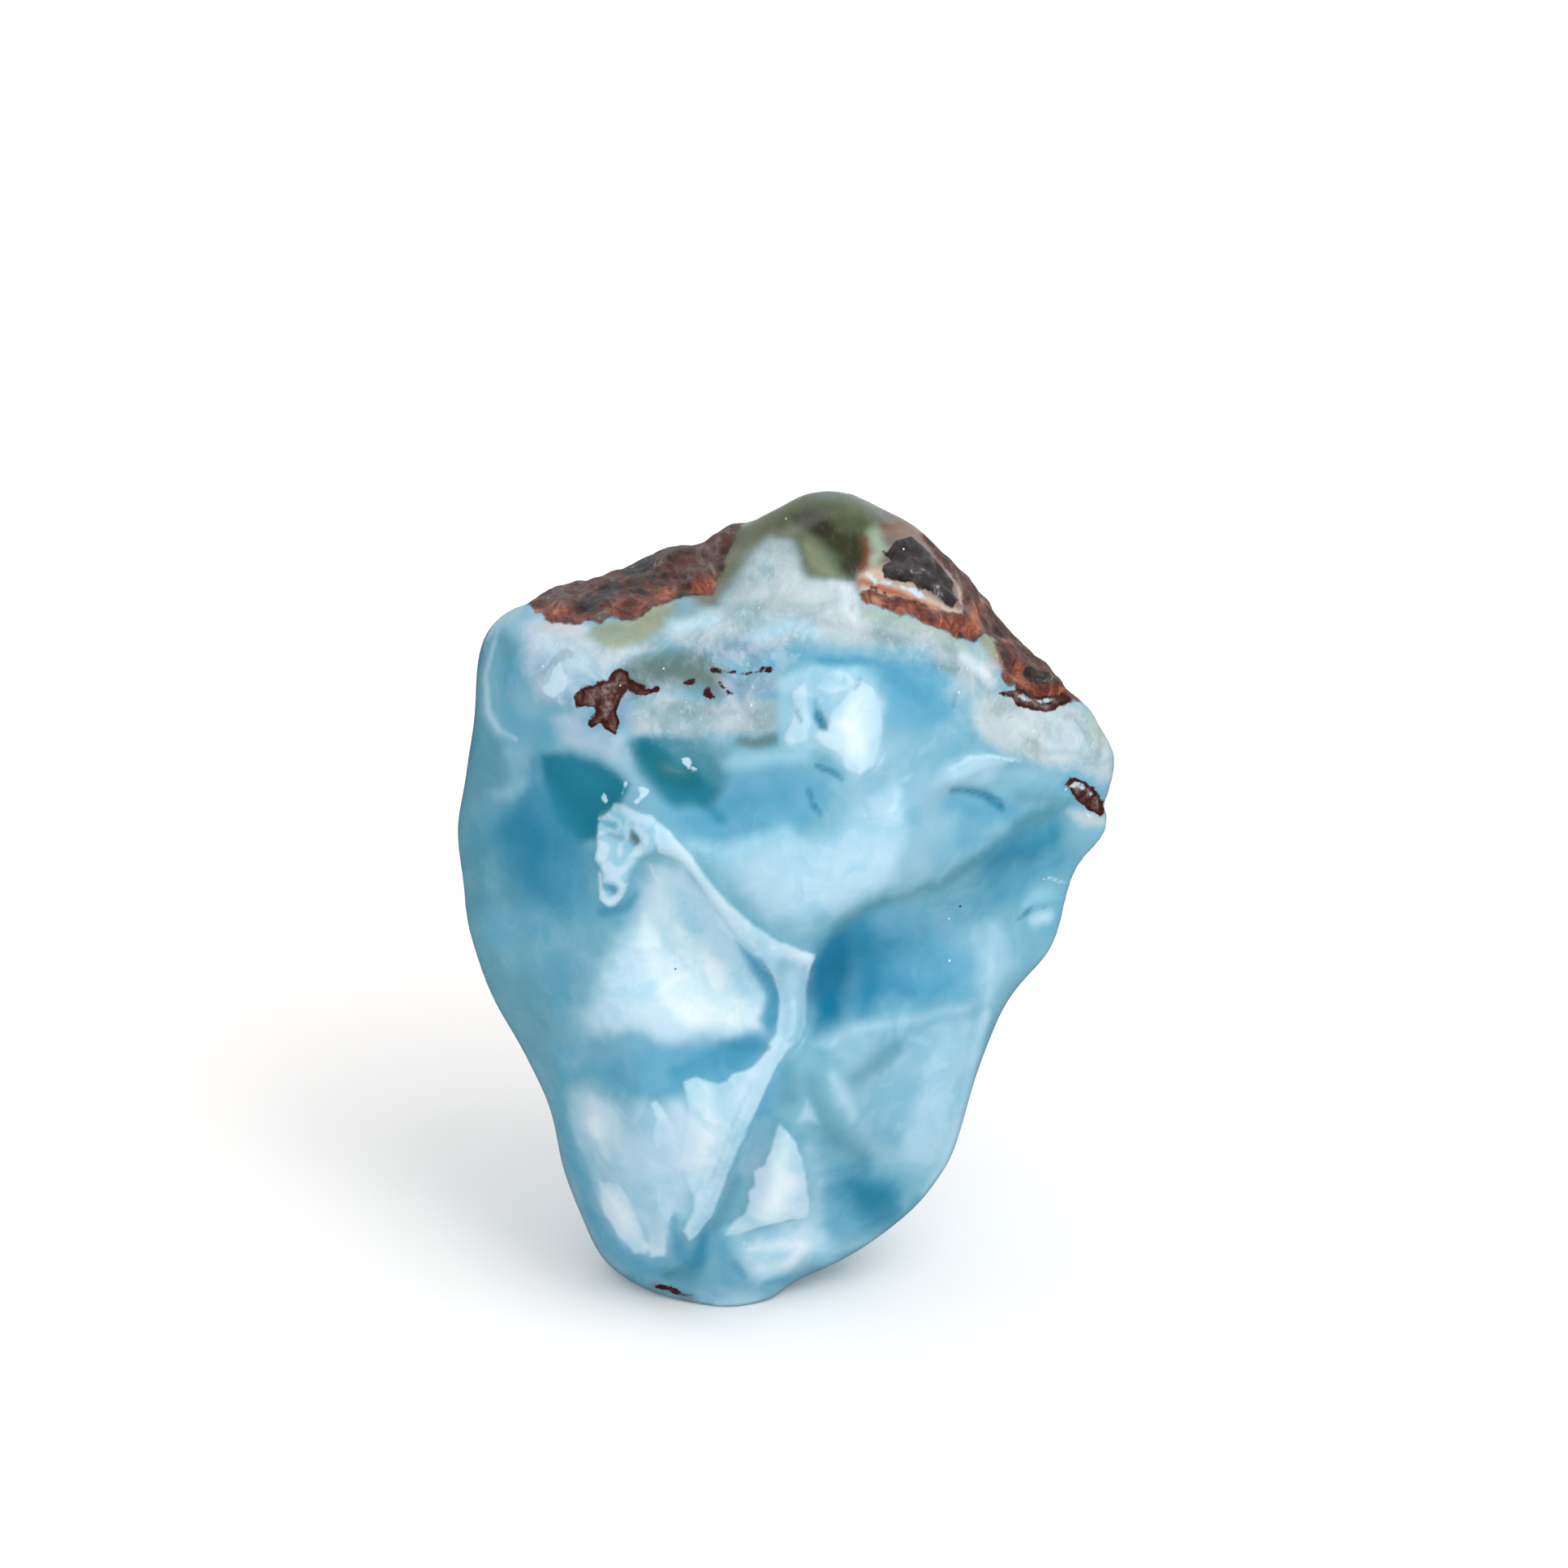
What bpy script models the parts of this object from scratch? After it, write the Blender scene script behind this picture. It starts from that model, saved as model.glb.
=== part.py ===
"""Rough larimar: one waterworn lump of blue pectolite under a rind of its host rock.

The stone stands on a small flat foot, and its face leans back. It is laid out in the face's own
frame: across (to the right), up (along the face) and forward (out of the face, towards someone
who looks down on it). Lengths are millimetres until the mesh is scaled to metres.
"""

import math

import bmesh
import bpy
from mathutils import Vector, noise

MM = 0.001
LEAN = math.radians(20.0)
SEGMENTS = 28
RIM_RING = 33
FACE_CENTRE = Vector((-0.5, 26.0))
FACE_ROUNDING = 2.8
BACK_ROUNDING = 2.3
STONE_MIDDLE = Vector((0.0, 26.0, -2.0))
FOOT_SINK = 0.35
LEAST_RISE = 1.2

# The outline of the face, clockwise from its highest point: across, up, forward.
OUTLINE = (
    (3.4, 50.9, -5.5), (7.0, 49.5, -6.0), (10.0, 47.2, -6.5), (13.4, 43.2, -6.5),
    (17.0, 39.3, -6.0), (19.9, 36.4, -4.0), (21.0, 33.5, -3.0), (20.3, 31.9, -3.0),
    (20.5, 29.8, -2.5), (18.5, 27.9, -2.5), (17.8, 26.0, -2.5), (17.4, 24.0, -2.5),
    (16.6, 22.0, -2.5), (13.9, 18.9, -2.0), (12.1, 14.8, -1.5), (10.9, 9.9, -1.5),
    (9.8, 7.9, -1.8), (8.3, 6.0, -2.2), (4.5, 3.6, -3.0), (0.9, 2.0, -3.0),
    (-0.3, 0.8, -1.5), (-3.3, 0.0, 0.0), (-7.0, 0.9, -2.0), (-10.6, 3.0, -5.0),
    (-11.7, 4.9, -5.0), (-13.2, 9.0, -4.0), (-14.4, 13.1, -3.0), (-17.5, 18.9, -2.0),
    (-19.2, 23.7, -2.0), (-19.5, 26.0, -2.0), (-20.0, 30.0, -2.0), (-19.5, 32.4, -2.0),
    (-19.1, 35.7, -2.5), (-18.5, 41.0, -4.0), (-17.2, 43.2, -6.0), (-15.2, 44.6, -8.0),
    (-11.4, 45.9, -9.0), (-6.1, 47.6, -9.0), (-2.0, 49.1, -7.0), (2.0, 50.8, -5.5),
)

# Broad facets of the face: across, up, forward at a point, then the slope across and up.
FACE_FACETS = (
    (-8.0, 43.4, 5.0, 0.12, -2.00),
    (9.5, 43.0, 6.0, -0.85, -1.35),
    (0.0, 46.5, 5.5, 0.05, -1.60),
    (-16.5, 31.0, 5.5, 1.10, 0.00),
    (-13.0, 12.0, 4.5, 1.30, 0.30),
    (14.0, 31.0, 7.5, -0.90, 0.00),
    (10.0, 12.0, 4.5, -1.00, 0.25),
    (-3.0, 4.0, 4.0, 0.00, 1.00),
)
FACET_BLEND = 0.7

# Ridges of the face: the points that the crest runs through (across, up), how wide it falls away
# to the left and to the right of its run, and how high it stands.
FACE_RIDGES = (
    (((-8.6, 31.2), (-7.4, 29.0), (-5.2, 27.2), (-3.0, 24.9), (-1.0, 23.5), (1.6, 22.6)), 4.5, 1.3, 1.7),
    (((1.2, 22.6), (0.7, 20.6), (0.8, 18.6), (-0.2, 16.7)), 1.5, 1.5, 1.7),
    (((-0.2, 16.7), (-1.8, 14.0), (-3.5, 10.0), (-5.6, 5.4)), 1.5, 3.8, 1.9),
    (((0.2, 16.8), (5.0, 18.3), (8.5, 18.8), (12.5, 20.2)), 1.8, 4.5, 1.4),
    (((-0.6, 23.4), (4.0, 25.2), (7.5, 26.4), (12.0, 28.7), (17.5, 31.2)), 7.0, 2.0, 2.4),
    (((7.2, 30.4), (9.5, 32.6), (11.5, 33.8), (15.0, 34.4)), 2.8, 1.4, 2.8),
    (((-13.5, 14.4), (-9.5, 14.8), (-6.0, 15.1), (-2.8, 15.1), (-0.6, 16.4)), 1.4, 6.0, 1.5),
    (((-16.0, 44.2), (-12.0, 43.4), (-8.0, 43.6), (-4.0, 45.0), (-1.5, 47.4)), 1.4, 2.6, 0.9),
)

# Hollows and swells of the face: across, up, half width, half height, turn in degrees, and how
# far the middle stands out (less than nothing for a hollow).
FACE_SWELLS = (
    (-5.0, 22.8, 6.0, 4.2, -38.0, -3.6),
    (-11.5, 23.0, 4.5, 5.5, 0.0, -1.2),
    (-6.0, 17.2, 7.0, 1.8, 3.0, -1.1),
    (4.2, 21.6, 4.6, 3.2, 25.0, -3.2),
    (10.5, 23.8, 6.5, 3.2, 25.0, -2.0),
    (5.6, 7.2, 4.6, 4.2, 15.0, -2.8),
    (-1.9, 8.6, 1.2, 5.5, -20.0, -1.6),
    (-5.4, 33.2, 3.8, 2.6, -25.0, -1.9),
    (-11.5, 31.6, 3.6, 3.6, 0.0, -1.6),
    (11.0, 31.4, 3.4, 1.2, 5.0, -1.1),
    (3.6, 36.6, 2.8, 3.2, -10.0, 1.5),
    (0.3, 8.0, 1.9, 4.6, -4.0, 1.5),
    (1.2, 3.4, 3.4, 1.8, 10.0, 1.2),
    (-9.5, 8.0, 2.6, 5.0, 15.0, 1.0),
    (-10.0, 28.0, 2.2, 2.6, -20.0, 1.0),
    (-11.0, 36.8, 3.6, 2.2, 5.0, 0.8),
    (-2.5, 38.2, 3.6, 1.6, 0.0, -0.9),
    (14.5, 40.4, 2.6, 1.6, -50.0, 1.0),
    (9.2, 44.6, 2.4, 1.8, -45.0, 0.8),
    (3.0, 50.0, 6.5, 3.6, -8.0, 7.0),
    (-16.5, 41.0, 2.5, 3.0, 0.0, 0.8),
)

# Broad facets of the back, as depth behind the outline's plane.
BACK_FACETS = (
    (0.0, 30.0, 14.0, 0.10, -0.05),
    (-12.0, 32.0, 12.0, 0.75, 0.10),
    (11.0, 30.0, 11.5, -0.80, 0.00),
    (0.0, 44.0, 13.0, 0.05, -0.75),
    (-2.0, 8.0, 14.8, 0.05, 0.12),
    (9.0, 14.0, 10.0, -1.10, 0.30),
    (-12.0, 12.0, 11.0, 1.20, 0.20),
)

# Ridges, and swells and hollows, of the back. The first swell is the heel that the stone stands on.
BACK_RIDGES = (
    (((-13.0, 40.0), (-6.0, 33.0), (-1.0, 25.0), (1.5, 15.0)), 2.0, 6.0, 1.8),
    (((1.0, 20.0), (6.0, 24.0), (14.0, 27.5)), 5.0, 2.0, 1.6),
)
BACK_SWELLS = (
    (-3.0, 4.0, 8.5, 5.0, 0.0, 8.0),
    (5.5, 33.0, 6.5, 5.5, 25.0, -2.6),
    (-8.5, 23.0, 5.0, 7.0, -20.0, -1.8),
    (-2.0, 42.0, 6.0, 3.0, 10.0, 1.2),
    (8.0, 17.0, 4.5, 4.0, 0.0, 1.2),
)

# The edge of the rind, the host rock left over the crown: how far up the face it comes at each
# place across. Above it the surface is rough; below, waterworn.
RIND_EDGE = (
    (-20.0, 43.8), (-15.7, 43.7), (-8.0, 43.0), (-4.0, 44.6), (-1.5, 47.0), (3.0, 47.5),
    (7.0, 42.5), (12.0, 41.5), (15.0, 38.0), (21.0, 34.5),
)
RIND_FADE = 1.6
RIND_LUMPS = ((2.6, 0.55), (1.5, 0.25))
WORN_LUMPS = ((7.0, 0.45), (3.5, 0.15))


def smooth_least(values, blend):
    """The least of the values, with a rounded change over from one to the next."""
    least = min(values)
    total = sum(math.exp((least - value) / blend) for value in values)
    return least - blend * math.log(total)


def facet_height(facet, across, up):
    at_across, at_up, forward, slope_across, slope_up = facet
    return forward + slope_across * (across - at_across) + slope_up * (up - at_up)


def face_dome(across, up):
    return 12.0 - 2.0 * (across / 20.0) ** 2 - 2.5 * ((up - 25.0) / 25.0) ** 2


def back_dome(across, up):
    return 15.0 - 3.0 * (across / 20.0) ** 2 - 3.0 * ((up - 18.0) / 30.0) ** 2


def ridge_height(ridge, across, up):
    """How far a ridge lifts the surface there: a crest that falls away to each side and at its ends."""
    path, left_width, right_width, height = ridge
    place = Vector((across, up))
    nearest = math.inf
    leftness = 0.0
    for start, end in zip(map(Vector, path), map(Vector, path[1:])):
        run = end - start
        share = min(1.0, max(0.0, (place - start).dot(run) / run.length_squared))
        offset = place - start - run * share
        if 0.0 < offset.length < nearest:
            nearest = offset.length
            leftness = run.cross(offset) / (run.length * offset.length)
    width = right_width + (left_width - right_width) * (1.0 + leftness) / 2.0
    return height * math.exp(-((nearest / width) ** 2))


def swell_height(swell, across, up):
    """How far an oval swell or hollow moves the face there."""
    at_across, at_up, half_width, half_height, turn, height = swell
    turn = math.radians(turn)
    along = (across - at_across) * math.cos(turn) + (up - at_up) * math.sin(turn)
    over = (up - at_up) * math.cos(turn) - (across - at_across) * math.sin(turn)
    return height * math.exp(-((along / half_width) ** 2) - (over / half_height) ** 2)


def relief(ridges, swells, across, up):
    """How far the ridges and the swells together move the surface there."""
    crest = max(ridge_height(ridge, across, up) for ridge in ridges)
    return crest + sum(swell_height(swell, across, up) for swell in swells)


def face_height(across, up):
    heights = [facet_height(facet, across, up) for facet in FACE_FACETS]
    broad = smooth_least([face_dome(across, up), *heights], FACET_BLEND)
    return broad + relief(FACE_RIDGES, FACE_SWELLS, across, up)


def back_depth(across, up):
    depths = [facet_height(facet, across, up) for facet in BACK_FACETS]
    broad = smooth_least([back_dome(across, up), *depths], FACET_BLEND)
    return broad + relief(BACK_RIDGES, BACK_SWELLS, across, up)


def rind_share(across, up):
    """How far a place lies in the rind: 0 on the worn stone, 1 once well above the rind's edge."""
    edge = RIND_EDGE[0][1]
    for (left, left_up), (right, right_up) in zip(RIND_EDGE, RIND_EDGE[1:]):
        share = min(1.0, max(0.0, (across - left) / (right - left)))
        edge = edge if share == 0.0 else left_up + (right_up - left_up) * share
    share = min(1.0, max(0.0, (up - edge) / RIND_FADE + 0.5))
    return share * share * (3.0 - 2.0 * share)


def roughened(point):
    """The point moved in or out by the uneven surface: broad and faint where worn, lumpy on the rind."""
    rind = rind_share(point.x, point.y)
    worn_lift = sum(height * noise.noise(point / size) for size, height in WORN_LUMPS)
    rind_lift = sum(height * noise.noise(point / size) for size, height in RIND_LUMPS)
    outward = (point - STONE_MIDDLE).normalized()
    return point + outward * (worn_lift + rind * rind_lift)


def curve_point(points, index, share):
    """A point of the closed smooth curve through the points, between one of them and the next."""
    before, start, end, after = (Vector(points[(index + step) % len(points)]) for step in (-1, 0, 1, 2))
    return 0.5 * (
        2.0 * start
        + (end - before) * share
        + (2.0 * before - 5.0 * start + 4.0 * end - after) * share**2
        + (3.0 * start - before - 3.0 * end + after) * share**3
    )


def even_outline(count):
    """Points evenly spaced along the outline, anticlockwise from the right of the face's centre."""
    fine = [curve_point(OUTLINE, i, step / 24) for i in range(len(OUTLINE)) for step in range(24)]
    fine.reverse()
    first = min(
        range(len(fine)),
        key=lambda i: abs(fine[i].y - FACE_CENTRE.y) if fine[i].x > 0 else math.inf,
    )
    fine = fine[first:] + fine[: first + 1]
    reach = [0.0]
    for start, end in zip(fine, fine[1:]):
        reach.append(reach[-1] + (end - start).length)
    spaced = []
    at = 0
    for step in range(count):
        wanted = reach[-1] * step / count
        while reach[at + 1] < wanted:
            at += 1
        share = (wanted - reach[at]) / (reach[at + 1] - reach[at])
        spaced.append(fine[at].lerp(fine[at + 1], share))
    return spaced


def ring_and_turn(corner):
    """A cube's vertex as a ring, counted from the middle of the front, and a share of a turn."""
    x, y, z = corner
    reach = max(abs(x), abs(z))
    half = SEGMENTS // 2
    on_side = reach > 1.0 - 1e-6
    if on_side:
        ring = half + round((y + 1.0) * half)
    elif y < 0.0:
        ring = round(reach * half)
    else:
        ring = 4 * half - round(reach * half)
    if reach < 1e-6:
        return ring, 0.0
    if x >= abs(z):
        turn = z / reach / 8.0
    elif z >= abs(x):
        turn = 0.25 - x / reach / 8.0
    elif -x >= abs(z):
        turn = 0.5 - z / reach / 8.0
    else:
        turn = 0.75 + x / reach / 8.0
    return ring, turn % 1.0


def stone_point(ring, turn, outline):
    """Where a vertex of that ring and turn lies, in the face's frame."""
    rim = outline[round(turn * len(outline)) % len(outline)]
    last = 2 * SEGMENTS
    if ring <= RIM_RING:
        reach = math.sin(math.pi / 2.0 * ring / RIM_RING)
        rounding = FACE_ROUNDING
    else:
        reach = math.sin(math.pi / 2.0 * (last - ring) / (last - RIM_RING))
        rounding = BACK_ROUNDING
    across, up = FACE_CENTRE.lerp(rim.xy, reach)
    swell = max(0.0, 1.0 - reach**rounding) ** (1.0 / rounding)
    if ring <= RIM_RING:
        forward = rim.z + max(face_height(across, up) - rim.z, LEAST_RISE) * swell
    else:
        forward = rim.z - max(back_depth(across, up) + rim.z, LEAST_RISE) * swell
    return Vector((across, up, forward))


def standing(point):
    """A point of the face's frame as it stands: the face leans back, with Z up."""
    across, up, forward = point
    y = up * math.sin(LEAN) - forward * math.cos(LEAN)
    z = up * math.cos(LEAN) + forward * math.sin(LEAN)
    return Vector((across, y, max(z - FOOT_SINK, 0.0)))


def stone_mesh():
    mesh = bpy.data.meshes.new("larimar_stone")
    bm = bmesh.new()
    bmesh.ops.create_cube(bm, size=2.0)
    bmesh.ops.subdivide_edges(bm, edges=bm.edges[:], cuts=SEGMENTS - 1, use_grid_fill=True)
    outline = even_outline(4 * SEGMENTS)
    for vertex in bm.verts:
        ring, turn = ring_and_turn(vertex.co)
        vertex.co = standing(roughened(stone_point(ring, turn, outline))) * MM
    low = Vector(min(vertex.co[axis] for vertex in bm.verts) for axis in range(3))
    high = Vector(max(vertex.co[axis] for vertex in bm.verts) for axis in range(3))
    middle = (low + high) / 2.0
    bmesh.ops.translate(bm, verts=bm.verts[:], vec=(-middle.x, -middle.y, 0.0))
    bmesh.ops.recalc_face_normals(bm, faces=bm.faces[:])
    bm.to_mesh(mesh)
    bm.free()
    return mesh


def stone_material():
    material = bpy.data.materials.new("larimar")
    material.use_nodes = True
    shader = material.node_tree.nodes["Principled BSDF"]
    shader.inputs["Base Color"].default_value = (0.30, 0.58, 0.72, 1.0)
    shader.inputs["Roughness"].default_value = 0.25
    shader.inputs["Metallic"].default_value = 0.0
    return material


def main():
    for old in list(bpy.data.objects):
        bpy.data.objects.remove(old)
    stone = bpy.data.objects.new("larimar_stone", stone_mesh())
    stone.data.materials.append(stone_material())
    stone.data.shade_smooth()
    bpy.context.scene.collection.objects.link(stone)


main()
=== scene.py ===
"""Rough larimar stone, dressed over its solid.

The lump is laid out in its face's own frame: across (to the right), up (along the face) and forward
(out of the face), in millimetres. The face leans back. Every patch of colour and every fine form is a
chain of discs, each with its place across, its place up and its radius, or an outline, each corner with
its place across and its place up. The face has one set of them and the back another, seen through the
stone from the front, and the two fade into each other where the surface turns away.
"""

import logging
import math
from dataclasses import dataclass, field
from enum import Enum

import bmesh
import bpy
import numpy as np
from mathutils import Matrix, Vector, noise


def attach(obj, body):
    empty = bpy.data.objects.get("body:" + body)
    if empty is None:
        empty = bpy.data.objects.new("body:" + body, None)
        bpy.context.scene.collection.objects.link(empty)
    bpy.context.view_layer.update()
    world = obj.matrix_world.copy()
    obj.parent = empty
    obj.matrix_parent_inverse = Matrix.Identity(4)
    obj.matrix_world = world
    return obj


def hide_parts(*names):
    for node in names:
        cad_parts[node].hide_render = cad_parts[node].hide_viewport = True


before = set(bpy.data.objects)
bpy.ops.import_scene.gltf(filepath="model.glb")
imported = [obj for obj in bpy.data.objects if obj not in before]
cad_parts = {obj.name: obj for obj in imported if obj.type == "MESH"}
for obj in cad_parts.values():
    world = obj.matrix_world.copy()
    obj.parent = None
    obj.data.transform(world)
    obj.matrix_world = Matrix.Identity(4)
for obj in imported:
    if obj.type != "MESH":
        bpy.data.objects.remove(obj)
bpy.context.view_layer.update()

log = logging.getLogger("larimar")

Marks = tuple[tuple[float, ...], ...]
Stops = tuple[tuple[float, tuple[int, int, int]], ...]
Socket = bpy.types.NodeSocket
Value = Socket | float
Colour = Socket | tuple[float, float, float]

MM = 0.001
PAINT_SHARE = 0.98
RAMP_SHARE = 0.9
GLOSS_LIFT = 0.008
DARKEST = 0.001
FULL_BEND_EDGE = 0.9
FAR_OUTSIDE = -4.0
FAR_INSIDE = 2.0
WHITE = (1.0, 1.0, 1.0, 1.0)


class Tint(Enum):
    """The colours of the stone, as they look in daylight, 0 to 255; the pale ones also paint highlights onto
    it, and some darker ones paint shade.
    """

    ICE = (234, 249, 255)
    MILK = (204, 232, 248)
    PALE = (179, 216, 236)
    FOAM = (164, 214, 236)
    HAZE = (146, 192, 214)
    WATER = (126, 182, 204)
    SKY = (106, 174, 204)
    AZURE = (82, 160, 193)
    SEA = (48, 142, 176)
    DEEP = (20, 122, 158)
    TEAL = (0, 124, 148)
    FERN = (16, 108, 120)
    DUSK = (108, 160, 178)
    SLATE = (92, 152, 176)
    SHADE = (82, 146, 166)
    IRIS = (142, 168, 194)
    LILAC = (182, 206, 228)
    GREY = (172, 192, 198)
    FROST = (190, 207, 213)
    CHALK = (228, 236, 242)
    JADE = (176, 194, 172)
    SAGE = (160, 168, 134)
    MOSS = (100, 108, 84)
    OLIVE = (82, 90, 66)
    PEAT = (50, 46, 38)
    SMOKE = (106, 134, 134)
    SAND = (224, 198, 178)
    TAUPE = (142, 116, 100)
    ORANGE = (182, 88, 44)
    RUST = (134, 60, 38)
    MAUVE = (112, 76, 72)
    PLUM = (72, 34, 31)
    BASALT = (46, 37, 39)

    def linear(self) -> tuple[float, float, float]:
        """The colour as the stone's own, without the light that its gloss adds in the studio."""
        lights = (to_linear(channel / 255.0) for channel in self.value)
        return tuple(max(DARKEST, PAINT_SHARE * light - GLOSS_LIFT) for light in lights)


class Vein(Enum):
    """What is let into the stone with a crisp edge. Each is kept as its depth inside that edge."""

    POOL = "pool"
    # Crisp white: the stone's white veins, and also painted highlights and glints on its facets and knot.
    MILK = "milk"
    CHALK = "chalk"
    INCLUSION = "inclusion"
    BASALT = "basalt"
    RUST = "rust"
    RIND = "rind"
    MOSS = "moss"
    GRAIN = "grain"


def to_linear(channel: float) -> float:
    """A colour channel as light instead of as a screen shows it."""
    return channel / 12.92 if channel <= 0.04045 else ((channel + 0.055) / 1.055) ** 2.4


def smooth_step(value: np.ndarray) -> np.ndarray:
    """0 below -1, 1 above 1, and a smooth rise between them."""
    share = np.clip(0.5 + 0.5 * value, 0.0, 1.0)
    return share * share * (3.0 - 2.0 * share)


@dataclass(frozen=True)
class Patch:
    """A shape on the face with the width over which its edge fades.

    Marks with a radius are a chain of discs, and marks without one are the corners of an outline.
    """

    edge: float
    marks: Marks

    def depth(self, across: np.ndarray, up: np.ndarray) -> np.ndarray:
        """How far inside the shape each place is.

        Args:
            across: The places' distances to the right, in millimetres.
            up: Their distances up the face.

        Returns:
            The depth inside the edge, less than nothing outside it.
        """
        outline = len(self.marks[0]) == 2
        follows = self.marks[1:] + self.marks[:1] if outline else self.marks[1:] or self.marks
        deepest = np.full_like(across, -1e3)
        inside = np.zeros(len(across), dtype=bool)
        for (x0, y0, *r0), (x1, y1, *r1) in zip(self.marks, follows):
            run_x, run_y = x1 - x0, y1 - y0
            squared = max(run_x * run_x + run_y * run_y, 1e-9)
            share = np.clip(((across - x0) * run_x + (up - y0) * run_y) / squared, 0.0, 1.0)
            away = np.hypot(across - x0 - run_x * share, up - y0 - run_y * share)
            if outline:
                passed = (up < y0) != (up < y1)
                inside ^= passed & (across < x0 + run_x * (up - y0) / (run_y or 1e-9))
                deepest = np.maximum(deepest, -away)
            else:
                deepest = np.maximum(deepest, r0[0] + (r1[0] - r0[0]) * share - away)
        return np.where(inside, -deepest, deepest)

    def cover(self, across: np.ndarray, up: np.ndarray) -> np.ndarray:
        """How much of the patch lies on each place, 0 to 1."""
        return smooth_step(self.depth(across, up) / self.edge)


@dataclass(frozen=True)
class Chart:
    """Where the stone's points lie on its face, in millimetres.

    The bend is how far the mineral's growth moves a pattern at each point, and the share is how much of
    the point is on the face's side of the stone.
    """

    across: np.ndarray
    up: np.ndarray
    bend: np.ndarray
    share: np.ndarray

    def wandering(self, amount: float) -> tuple[np.ndarray, np.ndarray]:
        """The distances across and up, bent by an amount as the mineral's growth bends them."""
        return self.across + self.bend[:, 0] * amount, self.up + self.bend[:, 1] * amount


@dataclass(frozen=True)
class Wash:
    """A soft stain of one tint."""

    tint: Tint
    strength: float
    edge: float
    marks: Marks

    def lay(self, colours: np.ndarray, chart: Chart, share: np.ndarray) -> None:
        """Lays the stain over the colours that are there already. Soft stains wander more than crisp.

        Args:
            colours: One row for each place, changed in place.
            chart: Where the places lie.
            share: How much of each place is on the stain's side of the stone.
        """
        across, up = chart.wandering(min(1.0, self.edge / FULL_BEND_EDGE))
        cover = (self.strength * share * Patch(self.edge, self.marks).cover(across, up))[:, None]
        colours += (np.array(self.tint.linear()) - colours) * cover


@dataclass(frozen=True)
class Inlay:
    """A crisp patch of one kind of vein."""

    vein: Vein
    marks: Marks


@dataclass(frozen=True)
class Form:
    """A small raised or sunken form: how high it stands, and how wide its edge is."""

    height: float
    edge: float
    marks: Marks


CORD: Marks = (
    (-7.6, 30.5), (-6.6, 29.8), (-5.4, 28.4), (-4.2, 26.9), (-3.0, 25.4), (-1.8, 24.3), (-0.4, 23.5),
    (1.0, 22.9), (2.3, 22.3), (1.9, 21.5), (1.6, 20.5), (1.5, 19.2), (1.5, 18.2), (1.2, 17.3), (0.6, 16.8),
    (-0.5, 16.2), (-0.7, 16.9), (-0.2, 17.6), (0.0, 18.8), (0.0, 20.0), (-0.3, 21.1), (-1.0, 22.1),
    (-2.0, 22.9), (-2.9, 23.9), (-3.9, 25.3), (-5.0, 26.9), (-6.0, 28.0), (-7.2, 28.6),
)
# The white lump: white stone with a painted reflection of the lamp on it.
WHITE_LUMP_WITH_GLARE: Marks = (
    (4.8, 38.9), (5.6, 38.3), (6.0, 37.4), (6.2, 36.4), (6.0, 35.0), (5.7, 33.8), (5.0, 33.3), (4.1, 33.6),
    (3.9, 34.4), (2.7, 35.1), (2.2, 35.6), (3.1, 36.2), (3.3, 37.0), (4.1, 37.8),
)
WHITE_COLUMN: Marks = (
    (0.8, 38.2), (1.6, 38.7), (1.8, 37.6), (1.9, 36.4), (1.7, 35.3), (0.5, 35.0), (0.3, 35.4), (0.8, 36.4),
    (1.0, 37.2),
)
# The bright facet over the foot: pale stone with a painted reflection of the lamp on it.
BRIGHT_FACET: Marks = (
    (0.0, 12.2), (0.6, 11.6), (1.1, 10.8), (1.5, 9.8), (1.7, 8.4), (1.8, 6.8), (1.8, 6.2), (0.4, 6.1),
    (-1.0, 5.8), (-2.4, 5.2), (-3.4, 5.0), (-3.0, 5.8), (-2.3, 6.4), (-1.8, 7.1), (-1.9, 7.9), (-1.5, 8.3),
    (-1.5, 9.2), (-0.9, 9.6), (-0.4, 10.6), (-0.3, 11.4),
)
# The facet left of the diagonal ridge: milky stone, whitened further as painted light where it faces up.
MILKY_LIT_FACET: Marks = (
    (-5.8, 14.7), (-5.0, 15.0), (-4.4, 14.8), (-3.6, 14.6), (-3.0, 14.8), (-2.7, 15.3), (-2.0, 15.5),
    (-1.4, 15.8), (-0.9, 16.4), (-0.3, 16.9), (0.4, 16.9), (0.0, 16.0), (-0.9, 14.4), (-1.9, 12.4),
    (-2.8, 10.2), (-3.4, 8.6), (-4.1, 7.0), (-4.6, 5.9), (-5.2, 5.0), (-5.6, 4.8), (-5.9, 5.4), (-5.4, 6.6),
    (-5.2, 7.6), (-5.6, 8.4), (-5.9, 9.6), (-5.7, 11.0), (-5.5, 13.0),
)
GLOSSY_KNOT: Marks = (
    (-9.9, 31.3), (-8.8, 30.9), (-7.6, 30.5), (-7.2, 29.2), (-7.6, 28.6), (-8.3, 28.3), (-8.9, 27.4),
    (-9.3, 26.4), (-9.8, 25.6), (-10.3, 25.2), (-10.8, 25.7), (-10.7, 26.6), (-10.6, 27.4), (-11.1, 28.1),
    (-10.9, 29.2), (-10.9, 30.2), (-10.5, 30.7),
)
BROWN_STAR: Marks = (
    (-12.5, 38.0), (-12.2, 38.7), (-11.3, 38.9), (-10.2, 39.1), (-9.6, 39.6), (-9.1, 39.5), (-9.0, 38.8),
    (-9.4, 38.3), (-9.6, 37.7), (-9.9, 37.2), (-9.7, 36.6), (-9.7, 36.1), (-9.9, 35.6), (-10.3, 35.8),
    (-10.9, 36.2), (-11.6, 36.0), (-11.4, 36.6), (-10.9, 37.1), (-11.3, 37.3), (-12.2, 37.4),
)
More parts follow.
